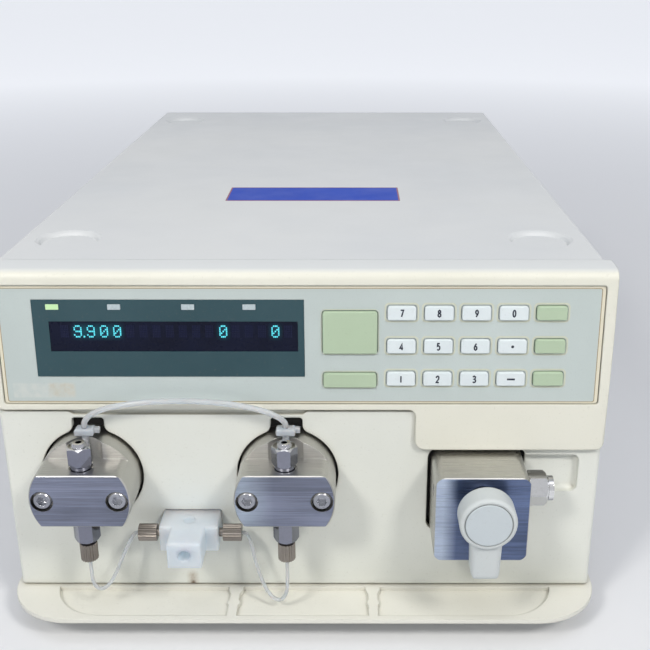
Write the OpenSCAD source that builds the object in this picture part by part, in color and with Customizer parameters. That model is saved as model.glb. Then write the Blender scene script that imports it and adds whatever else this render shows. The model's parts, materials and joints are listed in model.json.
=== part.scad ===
// Bench liquid-chromatography pump module: a solvent-delivery unit with two
// plunger heads on its face, a drain valve, a keypad and a display.
// Millimetres. +X is the operator's right, +Y the back, +Z up. The origin is
// on the bench, under the middle of the whole unit.

/* [Housing] */
// Width of the front bezel
bezel_w = 260; // [258:1:262]
// Width of the steel cover
cover_w = 256; // [254:1:257]
// Depth of the cover behind the bezel
cover_d = 404; // [400:1:430]
// Height of the cover's top above the bench
unit_h = 165; // [165:1:172]
// Thickness of the steel sheet
sheet = 1.6; // [1.2:0.1:2]
// Height of the chassis floor above the bench
floor_h = 14.5; // [14:0.5:16]
// How far the lower panel stands in front of the cover
panel_proud = 15.8; // [15:0.1:17]
// Wall of the moulded lower panel
panel_t = 3; // [2.5:0.1:3.5]
// Distance of the feet and stacking recesses from the middle, sideways
foot_x = 105.7; // [100:0.1:110]
// Distance of the front feet behind the bezel joint
foot_front = 31.9; // [28:0.1:40]
// Distance between the front and the rear feet
foot_pitch = 332; // [300:1:345]
// Diameter of the stacking recesses
recess_d = 29; // [27:0.5:32]

/* [Control panel] */
// Angle by which the control panel leans back
face_lean = 2.9; // [0:0.1:5]
// Width of the control panel sheet
control_w = 250.6; // [248:0.1:252]
// Height of the control panel sheet
control_h = 51.6; // [50:0.1:52]
// Width of a keypad key
key_w = 11.9; // [11:0.1:12.4]
// Height of a keypad key
key_h = 6.1; // [6:0.1:8]
// Distance between keypad columns
key_pitch_x = 15.35; // [15:0.05:15.6]
// Distance between keypad rows
key_pitch_z = 14.4; // [14:0.05:15]
// How far a key stands out of the sheet
key_proud = 1.4; // [1.3:0.1:2]
// Width of the display window
window_w = 112; // [108:0.5:114]
// Height of the display window
window_h = 33.5; // [30:0.5:36]

/* [Pump heads] */
// Distance of the head axes below the cover's top
head_drop = 92.8; // [90:0.1:95]
// Position of the left head's axis
head_left_x = -91.5; // [-93:0.1:-90]
// Position of the right head's axis
head_right_x = -6.5; // [-8:0.1:-5]
// Diameter of a pump head
head_d = 42.2; // [40:0.1:43]
// Height across the two flats at the front of a head
head_flat = 24.2; // [22:0.1:26]
// How far a head stands in front of the lower panel
head_proud = 23.8; // [22:0.1:26]
// Length of the flatted part of a head
flat_len = 15; // [13:0.5:17]
// Distance of the head screws from the head's axis
head_screw_x = 15.6; // [15:0.1:16]
// Distance of the check valves behind a head's front face
valve_back = 6.5; // [6:0.1:8]
// Diameter of the openings in the lower panel
opening_d = 44.2; // [44:0.1:46]

/* [Drain valve] */
// Middle of the valve block, sideways
block_x = 75.7; // [74:0.1:78]
// Width and height of the valve block
block_w = 39.6; // [38:0.1:41]
// Distance of the block's middle below the cover's top
block_drop = 101.2; // [100:0.1:103]
// How far the block stands in front of the lower panel
block_proud = 24.2; // [22:0.1:26]
// Distance of the knob's axis below the cover's top
knob_drop = 91.6; // [91:0.1:94]
// Diameter of the knob's hub
knob_d = 23.2; // [22:0.1:25]
// Length of the knob's lever, from its axis
lever_len = 27.5; // [25:0.5:30]
// Width of the lever
lever_w = 13.5; // [12:0.1:15]
// How far the knob stands in front of the block
knob_proud = 19.5; // [19:0.1:21]

/* [Inlet manifold] */
// Middle of the inlet block, sideways
manifold_x = -48.95; // [-50:0.05:-48]
// Distance of the block's top below the cover's top
manifold_drop = 110.6; // [110:0.1:112]
// Height of the inlet block
manifold_h = 12.4; // [12:0.1:14]
// Half length of the block's crossbar
manifold_half = 12.7; // [12:0.1:14]
// Length of the block's arm in front of the panel
arm_len = 27.5; // [20:0.5:30]

/* [Drive] */
// Distance of the camshaft behind the lower panel's face
cam_back = 103; // [102:1:106]
// Distance of the motor shaft behind the lower panel's face
motor_back = 195; // [190:1:200]
// Plunger travel for one radian of the camshaft
lift_per_rad = 3.8; // [3.6:0.1:3.8]
// Distance of a roller's centre from the camshaft at mid stroke
pitch_mid = 31; // [31:0.5:32]
// Radius of the cam rollers
roller_r = 11; // [10.5:0.1:11]
// Diameter of the plungers
plunger_d = 3.18; // [3:0.01:3.2]

/* [Drip tray] */
// Width of the drip tray
tray_w = 263; // [262:0.5:266]
// How far the tray reaches in front of the bezel joint
tray_reach = 40.9; // [38:0.1:44]
// Radius of the tray's front corners
tray_r = 29; // [26:0.5:30]
// Thickness of the tray's lip
lip_t = 2; // [1.6:0.1:2.4]

/* [Hidden] */
$fn = 48;
eps = 0.01;

cream = [0.90, 0.89, 0.83];
enamel = [0.80, 0.81, 0.84];
panel_green = [0.72, 0.76, 0.75];
key_green = [0.70, 0.78, 0.65];
steel = [0.70, 0.69, 0.66];
zinc = [0.72, 0.72, 0.70];
alloy = [0.75, 0.76, 0.78];
board_green = [0.12, 0.38, 0.22];

// Main planes of the housing
knob_reach = panel_proud + block_proud + knob_proud;
unit_d = knob_reach + cover_d;
cover_y = knob_reach - unit_d / 2;
back_y = cover_y + cover_d;
panel_y = cover_y - panel_proud;
rear_y = back_y - 5;

// Fits and gaps
gap = 0.3;
running = 0.05;
seat_gap = 0.02;

// Control panel, in the leaning frame of the bezel's face
face_y = cover_y - 15.9;
face_drop = 32.7;
sheet_front = 0.8;
sheet_t = 1.5;
sheet_back = sheet_front + sheet_t;
board_y = 10.2;
board_t = 1.6;
key_front = sheet_front - key_proud;
flange_y = sheet_back + gap;
stem_end = 6.1;
keypad_x = 42;
keypad_v = 14.4;
side_key_x = 103.7;
window_x = -54.3;
window_v = 3.05;
aperture = [102.9, 13.1];
aperture_at = [-52.3, 4];
lens = [5.3, 2.3];
lens_at = [for (x = [-101.75, -76.3, -45.95, -20.8]) [x, 16.8]];
pump_key = [22.7, 18.4];
program_key = [22.3, 6.4];
wide_key_x = 20.65;

// Every key: name, middle, size
KEYS = [
    ["key_7", column_row(0, 0), [key_w, key_h]],
    ["key_8", column_row(1, 0), [key_w, key_h]],
    ["key_9", column_row(2, 0), [key_w, key_h]],
    ["key_0", column_row(3, 0), [key_w, key_h]],
    ["key_4", column_row(0, 1), [key_w, key_h]],
    ["key_5", column_row(1, 1), [key_w, key_h]],
    ["key_6", column_row(2, 1), [key_w, key_h]],
    ["key_point", column_row(3, 1), [key_w, key_h]],
    ["key_1", column_row(0, 2), [key_w, key_h]],
    ["key_2", column_row(1, 2), [key_w, key_h]],
    ["key_3", column_row(2, 2), [key_w, key_h]],
    ["key_minus", column_row(3, 2), [key_w, key_h]],
    ["key_function", [side_key_x, row_v(0)], [12.6, key_h]],
    ["key_clear", [side_key_x, row_v(1)], [12.6, key_h]],
    ["key_enter", [side_key_x, row_v(2)], [12.6, key_h]],
    ["key_pump", [wide_key_x, 5.9], pump_key],
    ["key_program", [wide_key_x, -15.1], program_key]
];
function row_v(row) = keypad_v - row * key_pitch_z;
function column_row(column, row) = [keypad_x + column * key_pitch_x, row_v(row)];

// Pump heads and what is screwed into them
head_z = unit_h - head_drop;
HEADS = [head_left_x, head_right_x];
frame_gap = 6;
valve_out = head_proud - valve_back;
outlet_out = valve_out - 1.2;
seat_r = 4.95;
seat_depth = 0.7;
rinse_out = 5.5;
rinse_top = 4.1;
hex_af = 9.5;
// How far out each check valve's port is, and on which side of the head
VALVE_PORTS = [[valve_out, -1], [outlet_out, 1]];
port_r = 3.5;
nut_r = 3.75;
nut_len = 8;
neck_len = 1.7;
neck_r = 1.9;
inlet_len = 9.6;
tube_r = 0.8;
rinse_r = 1.25;
manifold_z = unit_h - manifold_drop - manifold_h / 2;
bar_d = 14.5;
side_port_out = 8.8;

// Drain valve
block_z = unit_h - block_drop;
knob_z = unit_h - knob_drop;
hub_back = 9.2;
stem_r = 4;
union_out = 12.2;
union_z = knob_z - 0.9;
union_len = 8.1;
union_collar = 2.9;

// Drive
plate_t = 14;
frame_front = panel_y + frame_gap;
frame_floor = floor_h + sheet;
wall_t = 9;
WALLS = [-121, -53, 20];
cam_y = panel_y + cam_back;
motor_y = panel_y + motor_back;
shaft_r = 7.5;
cam_t = 8;
rod_r = 7;
bush_flange = 2.4;
spring_seat = 44;
roller_back = cam_back - pitch_mid;
roller_w = 7;
roller_pin_r = 3.9;
bearing_r = 16;
bush_r = 10;
pulley_x = 33;
pulley_w = 12;
cam_pulley_r = 27;
motor_pulley_r = 9;
motor_w = 56.4;
motor_len = 76;
motor_shaft_r = 3.175;

// Drip tray
tray_top = floor_h;
trough_half = 111.6;
trough_front = 38;
trough_r = 23.5;
trough_depth = 1.9;
rib_x = 31;

// ---------------------------------------------------------------- helpers

// A height given as a distance below the cover's top
function below(d) = unit_h - d;
// A depth given as a distance in front of the lower panel
function ahead(d) = panel_y - d;

module rounded_rect(size, r) {
    square([size.x - 2 * r, size.y], center = true);
    square([size.x, size.y - 2 * r], center = true);
    for (x = [-1, 1], y = [-1, 1])
        translate([x * (size.x / 2 - r), y * (size.y / 2 - r)])
            circle(r);
}

// Stands a front view up and gives it a depth towards the back
module front_view(depth) {
    translate([0, depth, 0])
        rotate([90, 0, 0])
            linear_extrude(depth)
                children();
}

// Stands a side view up, with its x towards the back, and centres it on X
module side_view(width) {
    translate([-width / 2, 0, 0])
        rotate([90, 0, 90])
            linear_extrude(width)
                children();
}

// A block whose front face lies on y = 0: its corners are rounded by r in
// the front view, and its front edges by edge
module rounded_block(size, r, edge) {
    intersection() {
        front_view(size.y)
            rounded_rect([size.x, size.z], r);
        translate([0, size.y + edge, 0])
            side_view(size.x + 1)
                rounded_rect([2 * (size.y + edge), size.z], edge);
        translate([0, size.y + edge, -size.z / 2 - 1])
            linear_extrude(size.z + 2)
                rounded_rect([size.x, 2 * (size.y + edge)], edge);
    }
}

module along_x(r, len) {
    rotate([0, 90, 0])
        cylinder(r = r, h = len);
}

module along_y(r, len) {
    rotate([-90, 0, 0])
        cylinder(r = r, h = len);
}

// Puts children in the leaning frame of the bezel's face: x right, z up the
// face, y inwards, with the origin in the middle of the control panel
module on_face() {
    translate([0, face_y, below(face_drop)])
        rotate([-face_lean, 0, 0])
            children();
}

function hex_r(af) = af / 2 / cos(30);

// A hexagon with both ends chamfered, standing on z = 0
module hex_bar(af, len, chamfer = 0.7) {
    r = hex_r(af);
    intersection() {
        cylinder(r = r, h = len, $fn = 6);
        union() {
            cylinder(r1 = r - chamfer, r2 = r, h = chamfer);
            translate([0, 0, chamfer])
                cylinder(r = r, h = len - 2 * chamfer);
            translate([0, 0, len - chamfer])
                cylinder(r1 = r, r2 = r - chamfer, h = chamfer);
        }
    }
}

// Catmull-Rom point between p1 and p2
function curve_point(p0, p1, p2, p3, t) =
    0.5 * (2 * p1 + (p2 - p0) * t + (2 * p0 - 5 * p1 + 4 * p2 - p3) * t * t
        + (3 * p1 - p0 - 3 * p2 + p3) * t * t * t);

function smooth_route(pts, steps) = [
    for (i = [0 : len(pts) - 2], s = [0 : steps - 1])
        curve_point(pts[max(i - 1, 0)], pts[i], pts[i + 1],
            pts[min(i + 2, len(pts) - 1)], s / steps),
    pts[len(pts) - 1]
];

function unit(v) = v / norm(v);

function direction(p, i) =
    unit(p[min(i + 1, len(p) - 1)] - p[max(i - 1, 0)]);

// Rings are squared to the route, and the two end rings to the faces that
// they meet, whose directions are given in ends
module tube(route, r, ends, steps = 2, sides = 8) {
    path = smooth_route(route, steps);
    last_ring = len(path) - 1;
    rings = [
        for (i = [0 : last_ring])
            let (d = i == 0 ? ends[0] : i == last_ring ? ends[1] : direction(path, i))
            let (u = unit(cross(d, [0, 1, 0])), v = cross(u, d))
                [for (s = [0 : sides - 1])
                    path[i] + r * cos(360 * s / sides) * u + r * sin(360 * s / sides) * v]
    ];
    count = len(path);
    points = [for (ring = rings) each ring];
    side_faces = [
        for (i = [0 : count - 2], s = [0 : sides - 1])
            let (n = (s + 1) % sides)
                [i * sides + s, i * sides + n, (i + 1) * sides + n, (i + 1) * sides + s]
    ];
    first = [for (s = [sides - 1 : -1 : 0]) s];
    last = [for (s = [0 : sides - 1]) (count - 1) * sides + s];
    polyhedron(points, concat(side_faces, [first, last]));
}

// ---------------------------------------------------------------- housing

module base_chassis() {
    w = cover_w - 2 * sheet - 0.4;
    y0 = panel_y + panel_t;
    depth = rear_y + sheet - y0;
    side_h = 26;
    color(zinc)
        difference() {
            union() {
                translate([-w / 2, y0, floor_h])
                    cube([w, depth, sheet]);
                for (x = [-w / 2, w / 2 - sheet])
                    translate([x, cover_y + 2, floor_h])
                        cube([sheet, rear_y - cover_y - 2.2, side_h]);
                translate([-w / 2, y0, floor_h])
                    cube([w, sheet, 5]);
                translate([-w / 2, rear_y - sheet, floor_h])
                    cube([w, sheet, 14]);
            }
            for (x = [-1, 1], y = screw_rows())
                translate([x * (w / 2 - sheet / 2) - sheet, y, screw_z()])
                    along_x(1.95, 2 * sheet);
            for (row = [0 : 5])
                translate([-60 + 24 * row, cover_y + 250, floor_h - 1])
                    linear_extrude(4)
                        rounded_rect([4, 60], 1.9);
        }
}

function screw_rows() = [cover_y + 60, cover_y + 202, cover_y + 344];
function screw_z() = floor_h + 14;

module cover_section(w, top, r) {
    translate([0, top / 2])
        rounded_rect([w, top], r);
}

module top_cover() {
    bottom = floor_h + 1;
    recess_depth = 2;
    color(enamel)
        difference() {
            union() {
                translate([0, cover_y, 0])
                    difference() {
                        front_view(cover_d)
                            cover_section(cover_w, unit_h, 2.5);
                        translate([0, -1, -sheet])
                            front_view(cover_d + 2)
                                cover_section(cover_w - 2 * sheet, unit_h, 0.9);
                        translate([-cover_w, -1, -1])
                            cube([2 * cover_w, cover_d + 2, bottom + 1]);
                    }
                for (p = recess_places())
                    translate([p.x, p.y, unit_h - sheet - recess_depth])
                        cylinder(r1 = recess_d / 2 - 1, r2 = recess_d / 2 + 1.5, h = recess_depth + eps);
            }
            for (p = recess_places()) {
                translate([p.x, p.y, unit_h - recess_depth])
                    cylinder(r1 = recess_d / 2 - 2.4, r2 = recess_d / 2 - 0.8, h = recess_depth + eps);
                translate([p.x, p.y, unit_h - 0.8])
                    cylinder(r1 = recess_d / 2 - 1.5, r2 = recess_d / 2, h = 0.8 + eps);
            }
            for (y = screw_rows())
                translate([-cover_w, y, screw_z()])
                    along_x(2.1, 2 * cover_w);
        }
}

function recess_places() = [
    for (x = [-foot_x, foot_x], y = [0, foot_pitch])
        [x, cover_y + foot_front + y]
];

module rear_panel() {
    w = cover_w - 2 * sheet - 0.4;
    z0 = floor_h + sheet;
    h = unit_h - sheet - 0.2 - z0;
    color(enamel)
        translate([0, rear_y, 0])
            difference() {
                front_view(sheet)
                    difference() {
                        translate([0, z0 + h / 2])
                            rounded_rect([w, h], 0.6);
                        translate(inlet_at())
                            rounded_rect([28.6, 20.6], 1);
                        for (x = [-100 : 7 : -30], z = [104, 132])
                            translate([x, z])
                                rounded_rect([3, 22], 1.4);
                        for (x = [-16 : 7 : 54], z = [132])
                            translate([x, z])
                                rounded_rect([3, 22], 1.4);
                    }
            }
}

function inlet_at() = [88, 62];

// The bezel's side view: its top runs forward from the cover, turns over a
// rounded nose and comes down the leaning face
module bezel_section() {
    nose = 4.4;
    face_top = -15.9 + (face_drop - 5) * tan(face_lean);
    face_bottom = -15.9 - (80 - face_drop) * tan(face_lean);
    union() {
        polygon([
            [0, 0], [-6, -0.15], [face_top + nose, -0.45],
            [face_top, -nose - 0.45], [face_bottom, -80], [0, -80]
        ]);
        translate([face_top + nose, -nose - 0.45])
            circle(nose);
    }
}

// The bezel seen from the front, with the tab that hangs at its right
module bezel_outline() {
    main_bottom = -61.3;
    tab_bottom = -79.7;
    tab_x = 48.6;
    half = bezel_w / 2;
    fillet = 3;
    translate([0, main_bottom / 2 + 10])
        rounded_rect([bezel_w, 20 - main_bottom], 5);
    translate([(half + tab_x) / 2, (tab_bottom - 30) / 2])
        rounded_rect([half - tab_x, -30 - tab_bottom], 4.5);
    difference() {
        translate([tab_x - fillet, main_bottom - fillet])
            square(fillet + eps);
        translate([tab_x - fillet, main_bottom - fillet])
            circle(fillet);
    }
}

module front_bezel() {
    plan_r = 3;
    wall = 3.2;
    ledge = 1.8;
    half = bezel_w / 2;
    color(cream)
        difference() {
            intersection() {
                translate([0, cover_y, unit_h])
                    side_view(bezel_w)
                        bezel_section();
                translate([0, cover_y - 30, unit_h])
                    front_view(30)
                        bezel_outline();
                translate([0, cover_y, unit_h - 90])
                    linear_extrude(100) {
                        translate([-half, -10])
                            square([bezel_w, 10]);
                        translate([0, -10])
                            rounded_rect([bezel_w, 2 * (15.9 + 2.6) - 20], plan_r);
                    }
            }
            // The hollow behind the face, open towards the cover
            on_face()
                translate([0, wall + 0.8, 1])
                    front_view(30)
                        rounded_rect([bezel_w - 2 * wall, 2 * 27.9], 1.5);
            // The seat of the control panel and the window behind it
            on_face()
                translate([0, -2, 0])
                    front_view(2 + sheet_back)
                        rounded_rect([control_w + 2 * gap, control_h + 2 * gap], 1.5);
            on_face()
                translate([0, 0, 0])
                    front_view(12)
                        rounded_rect([control_w - 2 * ledge, control_h - 2 * ledge], 2);
            // Below the hollow the tab is a skin in front of the lower panel
            translate([-half - 1, ahead(0.2), unit_h - 100])
                cube([bezel_w + 2, 40, 100 - 62.2]);
        }
}

// ---------------------------------------------------------- control panel

module control_panel() {
    stud_r = 2.4;
    color(panel_green)
        on_face() {
            translate([0, sheet_front, 0])
                front_view(sheet_t)
                    difference() {
                        rounded_rect([control_w, control_h], 1.2);
                        translate([window_x, window_v])
                            square([window_w + 0.2, window_h + 0.2], center = true);
                        for (k = KEYS)
                            translate(k[1])
                                rounded_rect(k[2] + [2 * gap, 2 * gap], 1.5);
                    }
            for (p = stud_places())
                translate([p.x, sheet_back - eps, p.y])
                    along_y(stud_r, board_y - sheet_back + eps);
        }
}

function stud_places() = [
    [-115.5, 16], [-115.5, -16], [3.8, -21], [34.6, 21], [114.5, 16], [114.5, -16]
];

// A key: a cap whose front edges are rounded both ways, a flange that keeps
// it behind the sheet, and a stem that reaches for its switch
module key_form(size) {
    translate([0, key_front, 0])
        rounded_block([size.x, flange_y - key_front, size.y], 1.2, 0.5);
    translate([0, flange_y - eps, 0])
        front_view(0.8)
            rounded_rect(size + [1.8, 1.8], 2);
    translate([0, flange_y, 0])
        along_y(1.5, stem_end - flange_y);
}

module key(name) {
    k = [for (entry = KEYS) if (entry[0] == name) entry][0];
    color(is_green(name) ? key_green : [0.90, 0.91, 0.94])
        on_face()
            translate([k[1].x, 0, k[1].y])
                key_form(k[2]);
}

function is_green(name) =
    name == "key_function" || name == "key_clear" || name == "key_enter"
    || name == "key_pump" || name == "key_program";

module display_window() {
    color([0.20, 0.31, 0.34])
        on_face()
            difference() {
                union() {
                    translate([window_x, sheet_front - 0.2, window_v])
                        front_view(sheet_t + 0.2 + eps)
                            square([window_w, window_h], center = true);
                    translate([window_x, sheet_back, window_v])
                        front_view(0.6)
                            square([window_w + 4, window_h + 4], center = true);
                }
                translate([aperture_at.x, 0, aperture_at.y])
                    front_view(sheet_front + 0.2)
                        square(aperture, center = true);
                for (p = lens_at)
                    translate([p.x, 0, p.y])
                        front_view(5)
                            square(lens + [0.04, 0.04], center = true);
            }
}

module status_lenses() {
    color([0.75, 0.85, 0.75])
        on_face()
            for (p = lens_at)
                translate([p.x, sheet_front - 0.4, p.y])
                    front_view(sheet_t + 0.4)
                        rounded_rect(lens, 0.3);
}

module display_tube() {
    glass = [107, 20];
    color([0.11, 0.11, 0.20])
        on_face()
            translate([aperture_at.x, 0, aperture_at.y]) {
                translate([0, 3.4, 0])
                    front_view(5)
                        rounded_rect(glass, 1);
                for (z = [-8.6, 8.6], x = [-48 : 4 : 48])
                    translate([x - 0.3, 8.4 - eps, z - 0.3])
                        cube([0.6, board_y - 8.4 + eps, 0.6]);
            }
}

module control_board() {
    color(board_green)
        on_face() {
            translate([0, board_y, 0])
                front_view(board_t)
                    rounded_rect([238, 46], 2);
            for (k = KEYS)
                translate([k[1].x, board_y - 3, k[1].y])
                    front_view(3 + eps)
                        rounded_rect([6, 6], 0.5);
            translate([-80, board_y + board_t - eps, -15])
                front_view(6)
                    square([40, 9], center = true);
            for (x = [-40 : 16 : 8])
                translate([x, board_y + board_t - eps, -14])
                    front_view(3)
                        square([8, 18], center = true);
        }
}

// ------------------------------------------------------------- lower front

// A round opening with a notch on top, its corners faired with fillets
module head_opening() {
    r = opening_d / 2;
    notch_half = 6.9;
    notch_top = 27.2;
    fillet = 4;
    centre = [notch_half + fillet, sqrt(pow(r + fillet, 2) - pow(notch_half + fillet, 2))];
    sweep = atan2(centre.y, centre.x);
    flare = [
        for (i = [0 : 5])
            centre - fillet * [cos(sweep * i / 6), sin(sweep * i / 6)]
    ];
    inner = 0.98 * r / (r + fillet) * centre;
    circle(r);
    translate([0, notch_top - 8])
        rounded_rect([2 * notch_half, 16], 1.4);
    for (side = [0, 1])
        mirror([side, 0])
            polygon(concat([[-1, r - 4], [-1, centre.y]], flare, [inner]));
}

module front_panel() {
    w = 258.6;
    z0 = floor_h + 1;
    top = below(62.6);
    depth = panel_proud;
    pocket = [[90, 120], [83.3, 101.3]];
    pocket_size = [pocket[0][1] - pocket[0][0], pocket[1][1] - pocket[1][0]];
    pocket_at = [(pocket[0][0] + pocket[0][1]) / 2, below((pocket[1][0] + pocket[1][1]) / 2)];
    pocket_depth = 3.2;
    color(cream)
        difference() {
            union() {
                translate([0, panel_y, z0])
                    linear_extrude(top - z0)
                        difference() {
                            translate([0, depth])
                                rounded_rect([w, 2 * depth], 2);
                            translate([0, depth + panel_t])
                                square([w - 2 * panel_t + 1, 2 * depth], center = true);
                            translate([0, depth + 50])
                                square([w + 2, 100], center = true);
                        }
                translate([pocket_at.x, panel_y + panel_t - eps, pocket_at.y])
                    front_view(pocket_depth - panel_t + 2)
                        rounded_rect(pocket_size + [4, 4], 5);
            }
            for (x = HEADS)
                translate([x, panel_y - 1, head_z])
                    front_view(panel_t + 2)
                        head_opening();
            translate([block_x, panel_y - 1, block_z + 0.6])
                front_view(panel_t + 6)
                    rounded_rect([block_w + 3, block_w + 1.8], 5);
            translate([pocket_at.x, panel_y + pocket_depth, pocket_at.y])
                mirror([0, 1, 0])
                    rounded_block([pocket_size.x, pocket_depth + 1, pocket_size.y], 3, 2.2);
            // Relief along the top edge, where the rinse line crosses
            translate([0, panel_y - eps, 0])
                front_view(1.4)
                    polygon([
                        [-99.5, top + 1], [-99.5, top], [-97, top - 1.6],
                        [0.5, top - 1.6], [2.5, top], [2.5, top + 1]
                    ]);
        }
}

module tray_outline(inset) {
    half = tray_w / 2 - inset;
    front = cover_y - tray_reach + inset;
    back = cover_y + 8;
    r = tray_r - inset;
    translate([-half, front + r])
        square([2 * half, back - front - r]);
    translate([-half + r, front])
        square([2 * (half - r), r + 1]);
    for (side = [-1, 1])
        translate([side * (half - r), front + r])
            circle(r);
}

module trough_outline() {
    front = cover_y - trough_front;
    back = panel_y - 1.4;
    translate([-trough_half + trough_r, front])
        square([2 * (trough_half - trough_r), back - front]);
    for (side = [-1, 1])
        intersection() {
            translate([side * (trough_half - trough_r), front + trough_r])
                circle(trough_r);
            translate([-trough_half, front])
                square([2 * trough_half, back - front]);
        }
}

// A rib between two troughs: wide at the panel, waisted, with a knuckle
module trough_rib() {
    back = panel_y - 1.4;
    front = cover_y - trough_front - 1;
    knuckle = (back + front) / 2 - 0.5;
    polygon([
        [-3.3, back + 1], [-3.3, back - 2], [-2.1, back - 5], [-2.1, front],
        [2.1, front], [2.1, back - 5], [3.3, back - 2], [3.3, back + 1]
    ]);
    translate([0, knuckle])
        rounded_rect([5.6, 5], 2.4);
}

module drip_tray() {
    under = 1.9;
    color(cream)
        difference() {
            union() {
                translate([0, 0, tray_top - lip_t])
                    linear_extrude(lip_t)
                        tray_outline(0);
                translate([0, 0, tray_top - lip_t - under])
                    linear_extrude(under + eps)
                        tray_outline(5);
            }
            translate([0, 0, tray_top - trough_depth])
                linear_extrude(trough_depth + 1)
                    difference() {
                        trough_outline();
                        for (x = [-rib_x, rib_x])
                            translate([x, 0])
                                trough_rib();
                    }
        }
}

module feet() {
    color([0.12, 0.12, 0.13])
        for (p = recess_places())
            translate([p.x, p.y, 0])
                rotate_extrude()
                    polygon([
                        [0, 0], [10.6, 0], [11.5, 0.9], [12.6, floor_h - 2],
                        [13, floor_h - 1], [13, floor_h], [0, floor_h]
                    ]);
}

module cover_screws() {
    head_r = 3.8;
    color(zinc)
        for (side = [-1, 1], y = screw_rows())
            translate([side * cover_w / 2, y, screw_z()])
                rotate([0, side * 90, 0])
                    difference() {
                        union() {
                            cylinder(r = head_r, h = 1.4);
                            translate([0, 0, 1.4])
                                cylinder(r1 = head_r, r2 = head_r - 0.8, h = 0.7);
                            translate([0, 0, -6])
                                cylinder(r = 1.9, h = 6 + eps);
                        }
                        for (turn = [0, 90])
                            rotate(turn)
                                translate([-2, -0.45, 1.1])
                                    cube([4, 0.9, 2]);
                    }
}

// -------------------------------------------------------------- pump heads

// The flatted part in the front view, wider than the head: fillets fair the
// two flats into the round, which cuts them just before they would touch
module flats_outline() {
    fillet = 4.4;
    half = head_flat / 2;
    at = [sqrt(pow(head_d / 2 - fillet + 0.15, 2) - pow(half - fillet, 2)), half - fillet];
    square([head_d + 2, head_flat - 6], center = true);
    square([2 * at.x, head_flat], center = true);
    for (sx = [-1, 1], sy = [-1, 1])
        translate([sx * at.x, sy * at.y])
            circle(fillet);
}

module pump_head(x) {
    r = head_d / 2;
    full_len = head_proud - flat_len + frame_gap;
    front_edge = 0.6;
    color(steel)
        translate([x, panel_y, head_z])
            difference() {
                union() {
                    translate([0, frame_gap - full_len, 0])
                        along_y(r, full_len);
                    translate([0, -head_proud, 0])
                        intersection() {
                            front_view(flat_len + 1)
                                flats_outline();
                            rotate([-90, 0, 0]) {
                                cylinder(r1 = r - front_edge, r2 = r, h = front_edge);
                                translate([0, 0, front_edge])
                                    cylinder(r = r, h = flat_len + 2);
                            }
                            translate([0, 20, 0])
                                side_view(head_d + 4)
                                    rounded_rect([40, head_flat], 0.8);
                        }
                }
                // Wrench room round the two check valves
                for (port = VALVE_PORTS)
                    translate([0, -port[0], port[1] * (head_flat / 2 + 10)])
                        cylinder(r = 10.4, h = 20, center = true);
                // Screw counterbores and clearance holes
                for (side = [-1, 1])
                    translate([side * head_screw_x, 0, 0]) {
                        translate([0, -head_proud - 1, 0])
                            along_y(4.7, 6.3);
                        translate([0, -head_proud, 0])
                            along_y(2.65, head_proud + frame_gap + 1);
                    }
                // Plunger bore, chamber and seal pocket
                translate([0, -20, 0])
                    along_y(plunger_d / 2 + 0.16, 30);
                translate([0, frame_gap - 8, 0])
                    along_y(6.05, 9);
                // Flow passages from the chamber to the two valve ports
                for (port = VALVE_PORTS) {
                    translate([0, -port[0], port[1] * (head_flat / 4 + 1)])
                        cylinder(r = 0.75, h = head_flat / 2 + 2, center = true);
                    translate([0, -port[0], port[1] * (head_flat / 2 - 2)])
                        cylinder(r = port_r + running, h = 4.02, center = true);
                }
                translate([0, -outlet_out, head_flat / 2 - seat_depth])
                    cylinder(r = seat_r, h = 3);
                // Seat of the rinse fitting
                translate([0, -rinse_out, r - 3])
                    cylinder(r = 1.55, h = 10);
            }
}

module pump_heads() {
    for (x = HEADS)
        pump_head(x);
}

module head_screws() {
    color(steel)
        for (x = HEADS, side = [-1, 1])
            translate([x + side * head_screw_x, ahead(head_proud - 0.4), head_z])
                difference() {
                    union() {
                        rotate([-90, 0, 0])
                            cylinder(r1 = 3.4, r2 = 4.05, h = 0.65);
                        translate([0, 0.65, 0])
                            along_y(4.05, 4.25);
                        along_y(2.5, head_proud + frame_gap + 8);
                    }
                    translate([0, -eps, 0])
                        rotate([-90, 0, 0])
                            cylinder(r = hex_r(4), h = 2.6, $fn = 6);
                }
}

// An outlet check valve: threaded spigot, collar, chamfered hexagon and a
// tube seat on top
module outlet_valve(turn) {
    difference() {
        union() {
            translate([0, 0, -3.9])
                cylinder(r = port_r, h = 4);
            translate([0, 0, -seat_depth])
                cylinder(r = 4.4, h = seat_depth + 1.7);
            translate([0, 0, 1.7 - eps])
                rotate(turn)
                    hex_bar(hex_af, 8.6, 0.9);
            translate([0, 0, 10.2])
                cylinder(r1 = 3.2, r2 = 2.6, h = 1.5);
        }
        translate([0, 0, 6.5])
            cylinder(r = 1.3, h = 6);
    }
}

module inlet_valve(turn) {
    difference() {
        union() {
            translate([0, 0, -0.1])
                cylinder(r = port_r, h = 4);
            translate([0, 0, -inlet_len])
                rotate(turn)
                    hex_bar(hex_af, inlet_len, 0.9);
        }
        translate([0, 0, -inlet_len - 1])
            cylinder(r = neck_r + 0.05, h = 5);
    }
}

module check_valves() {
    outlet_turns = [41, 0];
    inlet_turns = [8, 0];
    color(steel)
        for (i = [0, 1])
            translate([HEADS[i], 0, head_z]) {
                translate([0, ahead(outlet_out), head_flat / 2])
                    outlet_valve(outlet_turns[i]);
                translate([0, ahead(valve_out), -head_flat / 2])
                    inlet_valve(inlet_turns[i]);
            }
}

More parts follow.
